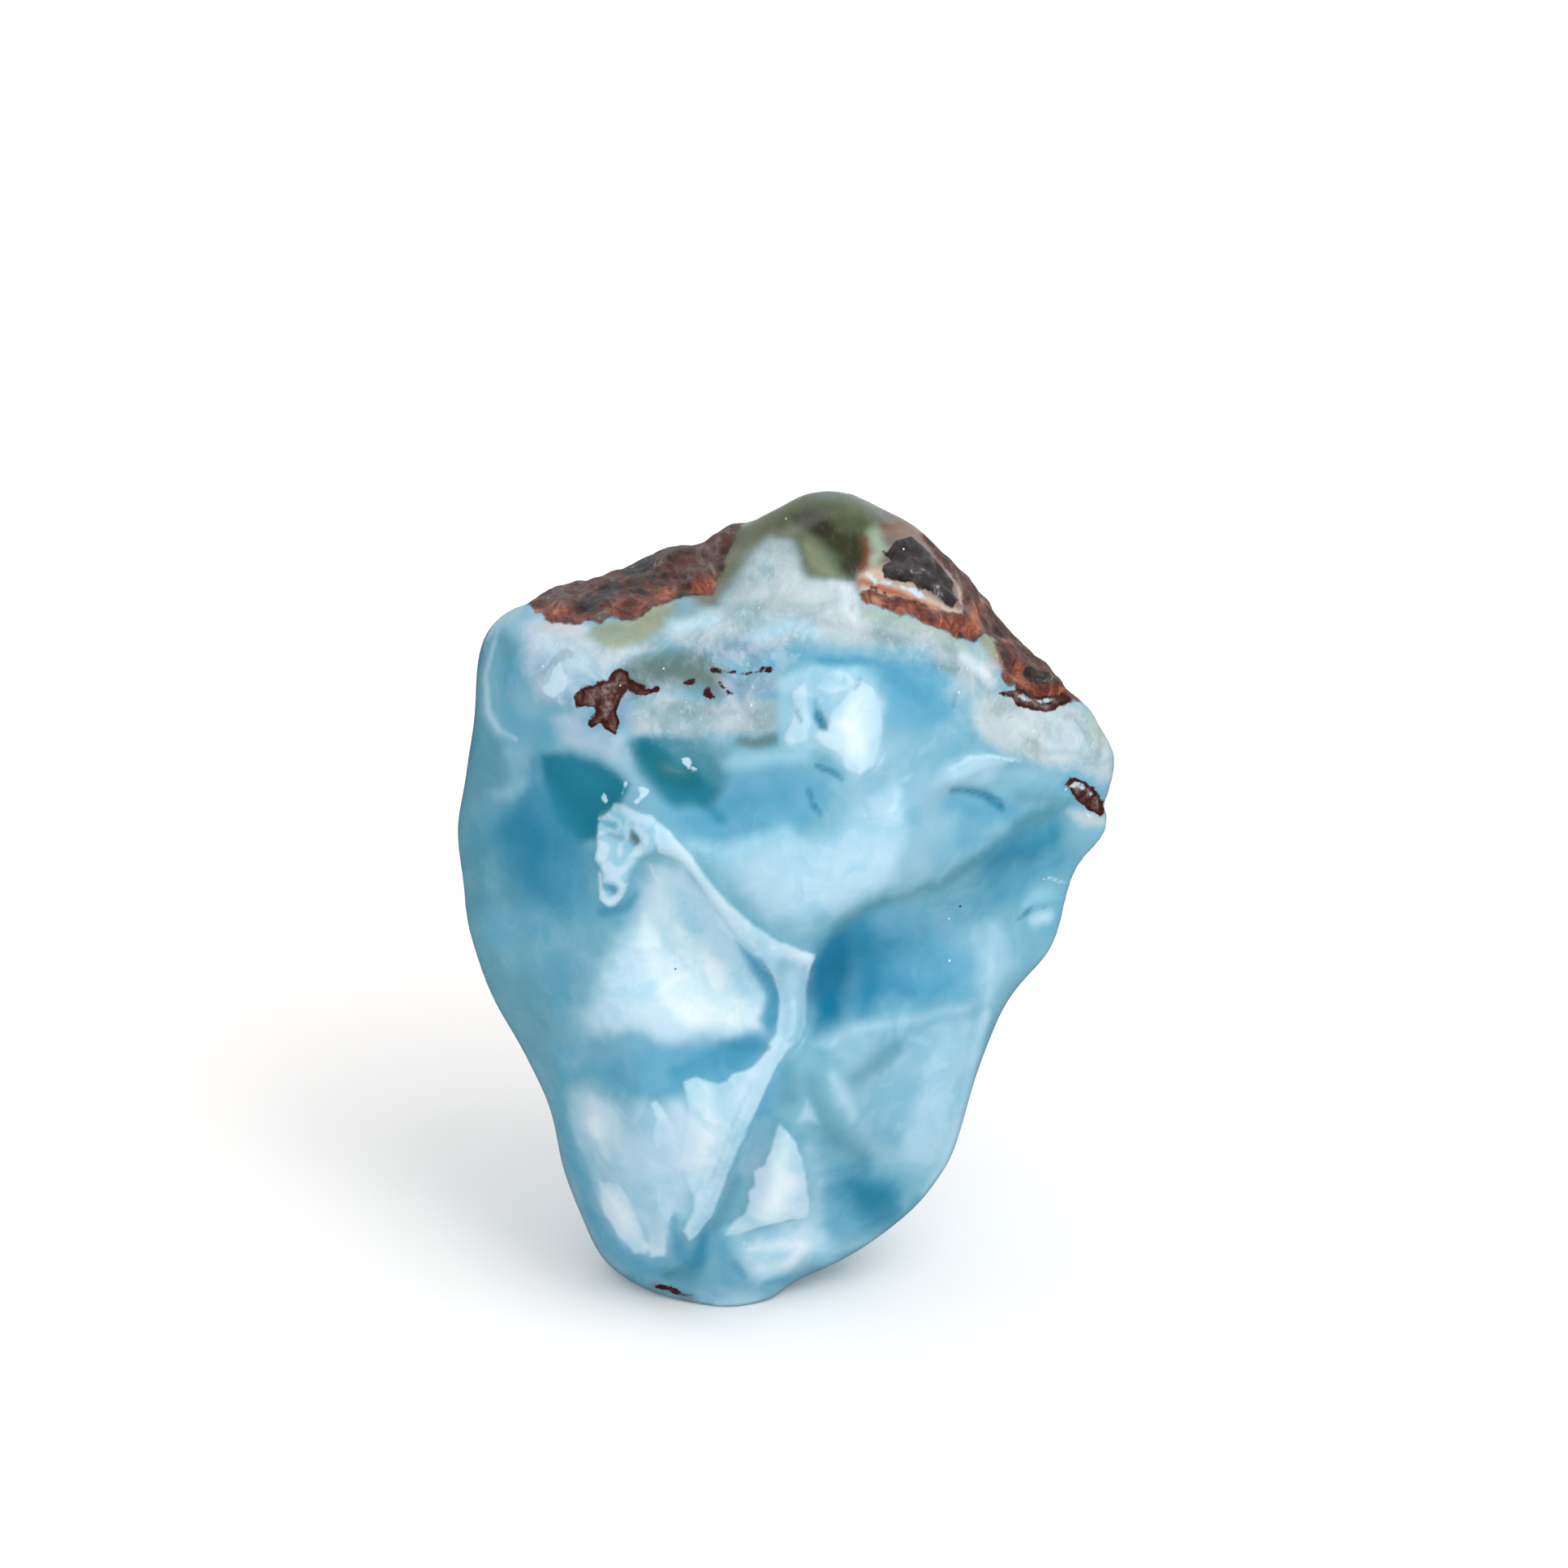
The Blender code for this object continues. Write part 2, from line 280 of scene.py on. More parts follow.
BROWN_LENS: Marks = (
    (17.5, 32.6), (17.9, 32.9), (18.5, 32.7), (19.0, 32.6), (20.1, 32.0), (20.4, 31.3), (20.0, 30.7),
    (19.2, 31.0), (18.3, 31.5), (18.0, 32.2),
)
DARK_PLATE: Marks = (
    (6.2, 47.0), (6.5, 46.8), (7.2, 47.6), (8.1, 48.0), (8.9, 47.4), (9.9, 46.2), (10.7, 45.1),
    (11.1, 43.9), (10.8, 43.4), (10.0, 44.0), (9.4, 44.3), (8.2, 44.8), (7.2, 45.1), (6.3, 45.2),
    (6.2, 45.8), (6.6, 46.2),
)
BOWL_HEART: Marks = (
    (-7.4, 27.4), (-4.4, 25.6), (-2.0, 22.6), (-0.8, 20.4), (-1.2, 19.4), (-3.6, 20.6), (-5.6, 22.2),
    (-6.6, 24.0),
)
RIND_BED: Marks = (
    (4.6, 44.8), (4.8, 47.4), (6.0, 49.4), (10.0, 51.0), (16.0, 44.0), (20.0, 38.6), (17.6, 37.6),
    (13.4, 39.8), (12.4, 42.0), (7.0, 43.8),
)

FACE_WASHES: tuple[Wash, ...] = (
    # The left flank.
    Wash(Tint.DUSK, 0.9, 1.2, (
        (-19.4, 41.0, 0.4), (-19.8, 34.0, 1.3), (-20.0, 27.0, 1.6), (-19.0, 21.0, 1.6), (-17.2, 16.5, 1.2),
    )),
    Wash(Tint.SLATE, 0.85, 0.8, (
        (-18.8, 36.4), (-16.6, 35.2), (-16.2, 33.6), (-17.0, 32.0), (-19.6, 31.6), (-19.6, 35.0),
    )),
    Wash(Tint.SEA, 0.9, 1.8, ((-16.2, 29.8, 2.2), (-14.2, 27.6, 2.4), (-12.8, 26.2, 1.6))),
    Wash(Tint.DEEP, 0.6, 1.4, ((-15.2, 30.2, 1.3), (-13.8, 28.4, 1.2))),
    Wash(Tint.AZURE, 0.8, 1.2, ((-12.6, 27.6, 1.0), (-12.2, 25.2, 0.8))),
    Wash(Tint.SHADE, 0.6, 1.2, ((-18.6, 28.0, 0.8), (-18.4, 25.6, 0.9), (-16.6, 25.4, 0.6))),
    Wash(Tint.SKY, 0.7, 0.9, ((-16.8, 23.8, 0.9), (-14.4, 24.0, 0.9))),
    Wash(Tint.DUSK, 0.8, 1.3, ((-17.4, 20.6, 1.2), (-15.4, 17.4, 1.6), (-13.8, 15.2, 1.0))),
    Wash(Tint.SKY, 0.7, 1.3, ((-12.8, 22.8, 1.2), (-13.2, 19.8, 1.3))),
    Wash(Tint.HAZE, 0.7, 0.5, (
        (-17.6, 32.1, 0.3), (-15.6, 32.4, 0.4), (-14.4, 33.0, 0.5), (-15.4, 34.2, 0.4), (-16.4, 34.8, 0.2),
    )),
    Wash(Tint.SKY, 0.9, 0.8, (
        (-16.4, 40.6, 0.6), (-16.2, 38.0, 1.2), (-15.0, 36.4, 1.2), (-13.8, 35.6, 0.6),
    )),
    Wash(Tint.HAZE, 0.6, 0.5, ((-16.2, 38.6, 0.4), (-15.0, 37.4, 0.5))),
    Wash(Tint.SLATE, 0.8, 0.35, (
        (-18.4, 42.0, 0.3), (-18.9, 39.6, 0.35), (-18.7, 37.0, 0.35), (-17.6, 35.4, 0.2),
    )),
    Wash(Tint.PALE, 0.7, 0.15, (
        (-17.4, 42.0, 0.1), (-18.1, 39.5, 0.15), (-17.9, 37.2, 0.2), (-17.2, 36.0, 0.2), (-16.0, 35.4, 0.1),
    )),
    Wash(Tint.HAZE, 0.85, 0.5, ((-17.4, 42.7, 0.5), (-16.0, 43.0, 0.4))),
    Wash(Tint.DUSK, 0.7, 0.5, ((-17.0, 41.6, 0.4), (-16.6, 40.4, 0.4))),
    Wash(Tint.LILAC, 0.95, 0.6, (
        (-15.8, 42.6), (-12.6, 42.8), (-10.2, 41.6), (-8.8, 40.4), (-9.6, 39.6), (-12.2, 39.2),
        (-13.0, 37.8), (-14.6, 38.2), (-15.6, 40.0),
    )),
    Wash(Tint.MILK, 0.6, 0.5, ((-14.4, 41.4, 0.5), (-13.2, 40.8, 0.6), (-11.8, 40.2, 0.5))),
    Wash(Tint.LILAC, 0.85, 0.5, (
        (-13.6, 36.6), (-12.0, 37.2), (-11.4, 36.0), (-9.4, 35.8), (-8.7, 34.0), (-9.2, 33.4),
        (-10.6, 34.1), (-13.2, 34.9),
    )),
    Wash(Tint.HAZE, 0.5, 0.6, ((-13.0, 35.8, 0.4), (-10.4, 35.2, 0.4))),
    Wash(Tint.TEAL, 0.98, 0.32, (
        (-14.4, 34.5), (-12.6, 34.3), (-11.0, 33.9), (-9.9, 33.2), (-9.1, 32.5), (-9.6, 31.4),
        (-10.7, 30.9), (-11.1, 29.4), (-12.2, 29.2), (-13.6, 30.4), (-14.2, 32.6),
    )),
    Wash(Tint.SEA, 0.45, 0.9, ((-12.8, 33.6, 0.4), (-11.4, 32.8, 0.5))),
    Wash(Tint.SEA, 0.75, 0.9, ((-14.4, 34.0, 0.5), (-14.2, 31.6, 0.7), (-13.0, 29.6, 0.6))),
    Wash(Tint.HAZE, 0.8, 0.3, ((-9.5, 34.6, 0.4), (-9.0, 33.2, 0.3), (-8.5, 32.2, 0.2))),
    # The left bowl.
    Wash(Tint.SKY, 0.8, 1.0, ((-11.4, 24.6, 0.8), (-9.6, 24.8, 0.8), (-8.4, 26.8, 0.6))),
    Wash(Tint.HAZE, 0.8, 1.2, ((-12.4, 22.6, 0.8), (-11.0, 20.8, 1.2), (-11.6, 18.6, 0.9))),
    Wash(Tint.MILK, 0.9, 0.9, (
        (-8.8, 25.0), (-7.8, 27.5), (-6.0, 27.6), (-4.2, 25.6), (-2.6, 23.6), (-1.4, 22.0), (-0.6, 20.4),
        (-0.6, 18.6), (-1.4, 17.6), (-6.0, 17.4), (-11.5, 17.4), (-12.2, 19.0), (-10.6, 21.5),
    )),
    Wash(Tint.MILK, 0.9, 0.5, BOWL_HEART),
    Wash(Tint.FOAM, 0.5, 0.5, BOWL_HEART),
    Wash(Tint.MILK, 0.9, 0.9, ((-10.8, 19.0, 0.7), (-8.4, 19.4, 0.9), (-6.4, 24.6, 0.4))),
    # Painted light: the icy white fan where the bowl's slope faces up to the lamp.
    Wash(Tint.ICE, 0.98, 0.5, (
        (-8.4, 24.6), (-7.8, 24.0), (-6.4, 22.0), (-5.0, 21.2), (-3.0, 20.0), (-1.4, 18.8), (-1.2, 18.0),
        (-3.0, 18.1), (-5.4, 18.2), (-7.0, 19.4), (-7.8, 21.0), (-8.5, 22.8),
    )),
    Wash(Tint.ICE, 0.9, 0.7, ((-6.4, 23.8, 0.4), (-5.4, 22.4, 0.7), (-3.8, 21.0, 0.7))),
    Wash(Tint.SEA, 0.7, 0.3, ((-10.7, 24.9, 0.3), (-9.4, 25.1, 0.3), (-8.7, 25.9, 0.2))),
    Wash(Tint.AZURE, 0.95, 0.3, (
        (-2.6, 23.1), (-1.4, 22.2), (-0.4, 21.0), (0.1, 19.8), (0.0, 18.2), (-0.6, 17.6), (-1.1, 18.4),
        (-0.9, 19.8), (-1.7, 21.3),
    )),
    # The band under the bowl: the stone's blue, made darker as painted shade where the surface turns down.
    Wash(Tint.SKY, 0.95, 0.7, (
        (-14.4, 17.0), (-11.0, 17.2), (-6.0, 17.0), (-3.5, 17.4), (-1.5, 17.5), (-0.6, 16.9), (-1.0, 16.0),
        (-2.3, 15.4), (-3.0, 14.8), (-4.8, 14.8), (-5.8, 14.0), (-9.0, 13.6), (-13.4, 14.6),
    )),
    Wash(Tint.HAZE, 0.5, 0.8, ((-12.6, 16.2, 0.6), (-8.6, 16.4, 0.5))),
    Wash(Tint.AZURE, 0.7, 0.45, (
        (-6.2, 15.4, 0.4), (-4.4, 16.0, 0.6), (-2.6, 16.5, 0.8), (-1.4, 17.0, 0.4),
    )),
    Wash(Tint.SEA, 0.5, 0.3, ((-3.4, 17.0, 0.3), (-1.4, 17.0, 0.4))),
    # The lower left: pale stone, whitened further by painted reflections on its facets.
    Wash(Tint.PALE, 0.9, 0.9, (
        (-12.6, 14.2), (-9.0, 13.2), (-5.8, 13.8), (-5.0, 12.0), (-5.0, 8.0), (-6.4, 5.6), (-7.8, 3.6),
        (-9.4, 4.2), (-11.2, 6.8), (-12.2, 10.0),
    )),
    Wash(Tint.MILK, 0.45, 0.9, ((-10.4, 12.0, 1.0), (-8.6, 9.6, 1.4), (-7.0, 7.0, 0.6))),
    Wash(Tint.HAZE, 0.3, 0.6, ((-9.2, 13.2, 0.5), (-8.8, 10.4, 0.7), (-8.4, 8.4, 0.6), (-7.8, 6.4, 0.2))),
    Wash(Tint.MILK, 0.8, 0.5, ((-11.2, 13.0, 0.4), (-11.0, 11.4, 0.6), (-10.6, 9.6, 0.3))),
    Wash(Tint.ICE, 0.8, 0.4, ((-11.2, 12.0, 0.3), (-11.0, 11.2, 0.3))),
    Wash(Tint.MILK, 0.8, 0.8, ((-6.2, 13.0, 0.4), (-5.8, 10.6, 0.6), (-6.2, 8.4, 0.4))),
    # Painted shade: the darker strip on the shadowed side of the diagonal ridge.
    Wash(Tint.SKY, 0.9, 0.4, (
        (0.3, 15.2, 0.4), (-0.7, 13.4, 0.6), (-1.9, 10.8, 0.6), (-3.1, 8.0, 0.6), (-4.0, 5.6, 0.7),
        (-4.8, 3.8, 0.7),
    )),
    Wash(Tint.DUSK, 0.6, 0.4, ((-1.6, 11.6, 0.3), (-3.0, 8.2, 0.4), (-4.2, 5.4, 0.4))),
    Wash(Tint.SLATE, 0.6, 0.5, ((0.4, 15.8, 0.4), (0.4, 13.8, 0.6))),
    Wash(Tint.HAZE, 0.9, 0.35, (
        (-1.6, 12.4), (-0.6, 12.4), (-0.4, 10.8), (-1.0, 9.6), (-1.9, 8.6), (-2.6, 9.4), (-2.2, 11.0),
    )),
    Wash(Tint.SEA, 0.8, 0.4, ((-4.7, 5.0, 0.2), (-5.0, 3.2, 0.6))),
    Wash(Tint.AZURE, 0.85, 0.4, ((-6.7, 6.0, 0.2), (-6.3, 4.2, 0.5), (-5.6, 3.2, 0.4))),
    Wash(Tint.SKY, 0.85, 0.6, (
        (-13.5, 13.4, 0.3), (-12.9, 9.4, 0.5), (-11.8, 6.4, 0.6), (-10.4, 4.2, 0.7), (-9.0, 3.2, 0.7),
        (-7.4, 2.8, 0.5),
    )),
    Wash(Tint.HAZE, 0.8, 0.3, (
        (-14.2, 12.4, 0.3), (-13.4, 9.0, 0.3), (-12.3, 6.0, 0.3), (-11.2, 4.0, 0.3), (-9.6, 2.6, 0.3),
    )),
    Wash(Tint.SHADE, 0.9, 0.5, ((-6.8, 2.4, 0.3), (-5.2, 2.4, 0.4))),
    Wash(Tint.TAUPE, 0.6, 0.3, ((-7.6, 1.6, 0.2), (-5.4, 1.0, 0.2))),
    Wash(Tint.HAZE, 0.95, 0.5, ((-4.4, 1.2, 0.7), (-2.0, 0.6, 0.9), (0.0, 1.2, 0.6))),
    Wash(Tint.PALE, 0.8, 0.4, ((-3.6, 0.6, 0.4), (-1.4, 0.6, 0.5))),
    # The bright facet over the foot: pale stone under a painted reflection of the lamp.
    Wash(Tint.SKY, 0.8, 0.5, ((-3.4, 4.0, 0.5), (-2.8, 2.6, 0.6), (-0.8, 1.8, 0.3))),
    Wash(Tint.FOAM, 0.9, 0.5, ((-3.0, 5.2, 0.4), (-2.2, 4.4, 0.5))),
    Wash(Tint.PALE, 0.9, 0.8, ((2.0, 10.6, 0.2), (2.3, 8.0, 0.4), (2.4, 5.0, 0.7), (2.6, 3.6, 0.6))),
    Wash(Tint.MILK, 0.9, 0.9, (
        (-2.6, 4.6), (-1.6, 5.4), (0.0, 6.0), (1.9, 6.4), (2.6, 3.8), (2.0, 3.0), (0.6, 2.4), (-1.4, 1.9),
        (-2.2, 2.6), (-2.6, 3.4),
    )),
    Wash(Tint.ICE, 0.8, 0.4, (
        (-1.8, 4.4, 0.2), (0.0, 4.6, 0.3), (1.4, 4.2, 0.3), (0.6, 3.0, 0.3), (-1.2, 2.8, 0.3),
    )),
    Wash(Tint.FOAM, 0.35, 0.3, ((-3.0, 4.4, 0.15), (-1.4, 5.2, 0.2), (0.0, 5.7, 0.2), (1.4, 5.6, 0.1))),
    Wash(Tint.FOAM, 0.4, 0.2, ((-1.4, 3.6, 0.1), (0.6, 3.7, 0.1))),
    Wash(Tint.AZURE, 0.8, 0.3, ((-2.8, 3.2, 0.25), (-2.2, 2.4, 0.2))),
    Wash(Tint.SKY, 0.8, 0.3, ((-0.8, 1.9, 0.2), (0.4, 2.0, 0.2))),
    # The lower right.
    Wash(Tint.HAZE, 0.9, 0.9, (
        (3.0, 17.4), (6.0, 18.0), (11.0, 18.0), (11.8, 15.0), (10.8, 11.0), (9.0, 8.6), (6.0, 9.0),
        (4.0, 12.0),
    )),
    Wash(Tint.PALE, 0.85, 1.2, ((9.8, 16.4, 1.0), (9.0, 13.4, 1.2), (8.6, 10.6, 1.0))),
    Wash(Tint.PALE, 0.5, 0.9, ((7.4, 15.4, 0.7), (7.2, 12.4, 0.9))),
    Wash(Tint.SLATE, 0.7, 0.9, ((1.6, 14.8, 0.4), (2.8, 12.6, 0.6), (4.0, 10.4, 0.8), (5.0, 9.4, 0.6))),
    Wash(Tint.SLATE, 0.75, 0.7, ((4.6, 15.4, 0.5), (5.8, 15.8, 0.7), (6.8, 16.6, 0.4))),
    Wash(Tint.PALE, 0.75, 0.5, ((3.2, 15.2, 0.2), (4.0, 13.8, 0.4), (4.7, 12.4, 0.2))),
    Wash(Tint.PALE, 0.8, 0.3, ((1.7, 13.6), (2.4, 12.2), (1.2, 12.4))),
    Wash(Tint.SKY, 0.35, 0.9, ((7.6, 14.0, 0.7), (6.6, 11.6, 0.7))),
    Wash(Tint.SKY, 0.8, 0.9, ((3.4, 8.8, 0.6), (3.6, 6.0, 0.9), (5.4, 5.4, 0.5))),
    Wash(Tint.DEEP, 0.3, 1.1, ((4.8, 7.6, 0.8), (6.0, 7.0, 1.0))),
    Wash(Tint.SEA, 0.85, 1.1, ((4.4, 7.8, 0.8), (5.6, 7.3, 1.4), (6.8, 6.8, 0.8))),
    Wash(Tint.TEAL, 0.5, 0.9, ((5.2, 7.0, 0.7), (6.2, 6.6, 0.8))),
    # Painted rim light along the bottom edge.
    Wash(Tint.FOAM, 0.8, 0.6, ((2.6, 3.4, 0.4), (4.4, 4.0, 0.3), (6.4, 4.6, 0.2))),
    Wash(Tint.PALE, 0.6, 0.8, ((11.4, 17.6, 0.6), (10.6, 14.0, 0.5), (9.6, 10.4, 0.4))),
    # Painted highlight: the thin bright line along the lower right rim.
    Wash(Tint.PALE, 0.9, 0.3, (
        (12.7, 18.6, 0.35), (12.0, 16.4, 0.35), (11.4, 13.6, 0.3), (10.8, 11.2, 0.25), (10.0, 9.2, 0.2),
        (8.8, 7.6, 0.2),
    )),
    Wash(Tint.HAZE, 0.8, 0.5, ((8.4, 8.2, 0.4), (7.8, 6.8, 0.2))),
    # The right hollow.
    Wash(Tint.SKY, 0.9, 1.2, (
        (4.5, 24.5), (8.0, 25.4), (12.0, 24.8), (12.6, 21.0), (11.4, 19.6), (8.0, 19.2), (5.0, 19.4),
    )),
    Wash(Tint.HAZE, 0.5, 1.0, ((9.4, 24.4, 0.6), (11.6, 23.6, 0.8))),
    Wash(Tint.AZURE, 0.85, 0.7, ((7.2, 20.4, 0.5), (9.0, 19.7, 0.4), (10.4, 20.4, 0.4))),
    Wash(Tint.AZURE, 0.6, 0.9, ((7.0, 22.4, 0.8), (9.4, 22.0, 0.7))),
    Wash(Tint.SEA, 0.9, 1.0, ((4.8, 18.8, 0.4), (5.6, 20.4, 1.0), (5.6, 22.6, 1.0), (5.4, 24.2, 0.6))),
    Wash(Tint.DEEP, 0.95, 0.8, (
        (2.4, 21.8), (3.0, 23.2), (4.4, 24.4), (5.0, 23.6), (4.8, 21.6), (4.2, 19.4), (3.2, 18.2),
        (1.9, 17.8), (1.6, 19.4),
    )),
    # Painted shade under the edge of the brow.
    Wash(Tint.SHADE, 0.85, 0.6, ((3.8, 24.0, 0.4), (5.0, 25.0, 0.6), (6.6, 25.6, 0.4))),
    Wash(Tint.HAZE, 0.85, 0.35, (
        (2.0, 17.0, 0.2), (4.6, 17.8, 0.4), (7.2, 18.3, 0.4), (9.0, 18.3, 0.4), (11.4, 19.0, 0.4),
        (13.0, 19.6, 0.4),
    )),
    Wash(Tint.PALE, 0.5, 0.3, ((4.6, 17.8, 0.2), (7.4, 18.1, 0.2), (11.4, 19.0, 0.2))),
    Wash(Tint.PALE, 0.7, 0.3, ((8.0, 17.2, 0.15), (8.9, 16.8, 0.2))),
    Wash(Tint.PALE, 0.75, 0.9, ((12.8, 23.6, 0.5), (13.2, 21.6, 0.8), (13.0, 19.8, 0.4))),
    Wash(Tint.HAZE, 0.8, 0.4, ((8.6, 27.2, 0.5), (11.0, 28.2, 0.6), (13.4, 29.8, 0.5))),
    # Painted shadow: the dark line that the ridge above casts across the hollow.
    Wash(Tint.DUSK, 0.9, 0.35, (
        (7.4, 25.9, 0.3), (10.0, 26.8, 0.35), (12.4, 28.1, 0.35), (14.6, 29.6, 0.35), (16.8, 30.8, 0.3),
    )),
    Wash(Tint.SEA, 0.9, 1.0, ((13.0, 27.2, 0.7), (14.6, 28.5, 1.1), (16.4, 29.4, 0.8))),
    Wash(Tint.AZURE, 0.8, 0.9, ((12.8, 25.6, 0.6), (14.8, 26.8, 0.7), (17.4, 27.8, 0.6))),
    # The same painted shadow at its right end.
    Wash(Tint.SHADE, 0.8, 0.5, ((14.6, 30.0, 0.3), (16.6, 30.9, 0.4), (17.6, 31.2, 0.2))),
    # Painted highlight on the lip of the right edge.
    Wash(Tint.FOAM, 0.7, 0.5, ((15.4, 25.4, 0.3), (16.8, 25.8, 0.4))),
    Wash(Tint.MILK, 0.8, 0.4, ((15.7, 24.2, 0.2), (16.6, 24.5, 0.3))),
    # The brow.
    Wash(Tint.PALE, 0.97, 1.1, (
        (-3.6, 27.4), (-0.4, 29.2), (3.0, 30.0), (5.0, 32.4), (7.6, 33.4), (8.2, 30.0), (7.4, 27.0),
        (5.6, 26.0), (3.4, 25.0), (1.2, 24.3), (-1.2, 24.8),
    )),
    Wash(Tint.MILK, 0.3, 1.1, ((-0.6, 26.4, 0.6), (2.0, 27.0, 0.9), (5.0, 28.2, 1.0), (6.4, 30.6, 0.8))),
    Wash(Tint.HAZE, 0.9, 0.9, ((3.4, 32.4, 0.6), (5.4, 32.8, 0.7), (7.4, 34.6, 0.8))),
    Wash(Tint.SKY, 0.97, 0.8, (
        (-7.6, 31.4), (-4.4, 32.8), (-1.0, 33.6), (1.8, 33.2), (3.4, 32.0), (1.6, 30.2), (-1.4, 29.4),
        (-4.2, 28.6), (-6.0, 29.6),
    )),
    Wash(Tint.AZURE, 0.7, 0.8, ((-4.6, 29.9, 0.5), (-2.6, 31.2, 0.7), (0.0, 31.6, 0.5))),
    Wash(Tint.FOAM, 0.8, 0.5, ((-5.2, 28.7, 0.3), (-3.2, 28.2, 0.5), (0.4, 29.6, 0.4))),
    Wash(Tint.SEA, 0.85, 0.4, ((-3.9, 31.0, 0.2), (-3.5, 30.3, 0.3))),
    Wash(Tint.HAZE, 0.9, 0.5, (
        (8.1, 33.6), (7.9, 27.0), (9.6, 26.9), (10.8, 29.0), (10.4, 32.0), (9.0, 33.8),
    )),
    Wash(Tint.SKY, 0.6, 0.8, ((9.8, 28.4, 0.6), (11.6, 29.2, 0.7))),
    # Under the glossy knot.
    Wash(Tint.FOAM, 0.95, 0.2, GLOSSY_KNOT),
    Wash(Tint.AZURE, 0.8, 0.2, ((-10.4, 30.4, 0.15), (-9.7, 30.2, 0.2))),
    Wash(Tint.SMOKE, 0.9, 0.2, ((-8.6, 29.5, 0.3), (-8.3, 29.0, 0.2))),
    Wash(Tint.AZURE, 0.9, 0.2, ((-10.4, 26.4, 0.2), (-9.9, 26.2, 0.3))),
    # The green hollow.
    Wash(Tint.SHADE, 0.95, 0.5, (
        (-9.2, 35.0), (-8.2, 35.7), (-5.4, 35.6), (-3.8, 34.6), (-3.0, 33.0), (-3.8, 31.2), (-6.4, 31.0),
        (-7.6, 32.0), (-8.6, 33.2), (-8.9, 34.2),
    )),
    Wash(Tint.TEAL, 0.85, 0.5, (
        (-8.9, 35.0), (-8.3, 35.6), (-7.2, 35.2), (-6.2, 34.2), (-4.8, 33.4), (-3.6, 32.2), (-4.2, 31.0),
        (-6.2, 31.0), (-7.4, 32.0), (-8.4, 33.2),
    )),
    Wash(Tint.FERN, 0.7, 0.6, ((-8.1, 34.4, 0.5), (-6.8, 33.2, 0.8), (-5.4, 32.6, 0.7))),
    Wash(Tint.DUSK, 0.7, 0.5, ((-4.6, 35.2, 0.3), (-3.4, 34.6, 0.4))),
    Wash(Tint.GREY, 0.95, 0.4, (
        (-8.9, 37.6), (-7.6, 38.0), (-4.6, 37.6), (-2.0, 38.0), (0.4, 37.8), (0.4, 36.0), (-1.2, 35.4),
        (-3.6, 35.8), (-5.2, 35.6), (-7.4, 35.8), (-8.8, 35.8),
    )),
    Wash(Tint.SMOKE, 0.5, 0.4, ((-6.6, 37.4, 0.3), (-5.4, 37.0, 0.3))),
    Wash(Tint.IRIS, 0.8, 0.5, ((-3.4, 38.6, 0.5), (-1.8, 38.6, 0.6), (-0.6, 38.8, 0.4))),
    Wash(Tint.SMOKE, 0.85, 0.3, ((-2.4, 35.2, 0.3), (-1.4, 34.9, 0.45), (-0.5, 35.3, 0.35))),
    Wash(Tint.FOAM, 0.7, 0.5, ((-2.6, 33.8, 0.5), (0.2, 34.2, 0.5), (1.6, 34.4, 0.4))),
    # The white lump, with painted reflections of the lamp on it, and the upper right.
    Wash(Tint.HAZE, 0.9, 0.9, ((6.8, 34.4, 0.8), (8.8, 34.8, 0.9), (10.8, 36.6, 0.9))),
    Wash(Tint.SKY, 0.95, 0.7, ((6.0, 40.0), (9.6, 39.4), (11.0, 37.4), (9.6, 36.0), (6.4, 36.4))),
    Wash(Tint.AZURE, 0.7, 0.6, ((6.9, 39.2, 0.3), (7.4, 38.2, 0.6), (8.6, 37.6, 0.4))),
    Wash(Tint.PALE, 0.9, 0.4, (
        (0.0, 39.0), (2.0, 39.9), (5.0, 39.6), (6.3, 37.4), (6.2, 34.2), (4.6, 33.0), (3.0, 34.8),
        (0.0, 34.8),
    )),
    Wash(Tint.SKY, 0.85, 0.3, ((2.3, 37.8, 0.1), (2.5, 36.8, 0.35))),
    Wash(Tint.FOAM, 0.3, 0.5, (
        (0.2, 39.2), (1.6, 39.6), (2.2, 36.0), (2.2, 34.6), (0.0, 34.6), (0.0, 36.8),
    )),
    Wash(Tint.FOAM, 0.7, 0.4, ((3.6, 39.6, 0.3), (5.6, 38.8, 0.4))),
    Wash(Tint.HAZE, 0.85, 0.6, ((12.0, 33.4, 0.4), (14.4, 33.3, 0.4), (16.6, 33.1, 0.5))),
    Wash(Tint.PALE, 0.9, 0.5, (
        (9.4, 32.6), (10.6, 33.9), (12.4, 34.6), (13.8, 34.2), (13.0, 33.2), (11.6, 32.7), (10.4, 32.4),
    )),
    Wash(Tint.SKY, 0.85, 0.6, ((10.4, 31.2, 0.5), (12.4, 31.0, 0.6), (14.4, 30.9, 0.4))),
    Wash(Tint.SEA, 0.85, 0.35, ((10.6, 32.1, 0.1), (12.4, 32.0, 0.25), (13.6, 31.3, 0.25))),
    Wash(Tint.DUSK, 0.7, 0.5, ((15.0, 31.8, 0.4), (16.6, 31.8, 0.5), (17.4, 31.0, 0.3))),
    Wash(Tint.FROST, 0.97, 0.5, (
        (12.0, 38.6), (13.6, 38.2), (18.0, 37.6), (20.6, 35.4), (20.8, 33.0), (19.6, 32.6), (17.6, 33.6),
        (14.0, 34.6), (11.8, 36.0),
    )),
    Wash(Tint.CHALK, 0.35, 0.3, ((13.8, 36.8, 0.3), (15.2, 36.0, 0.3), (16.4, 35.2, 0.2))),
    Wash(Tint.CHALK, 0.35, 0.3, ((16.2, 37.0, 0.3), (17.8, 36.2, 0.3), (19.0, 34.4, 0.2))),
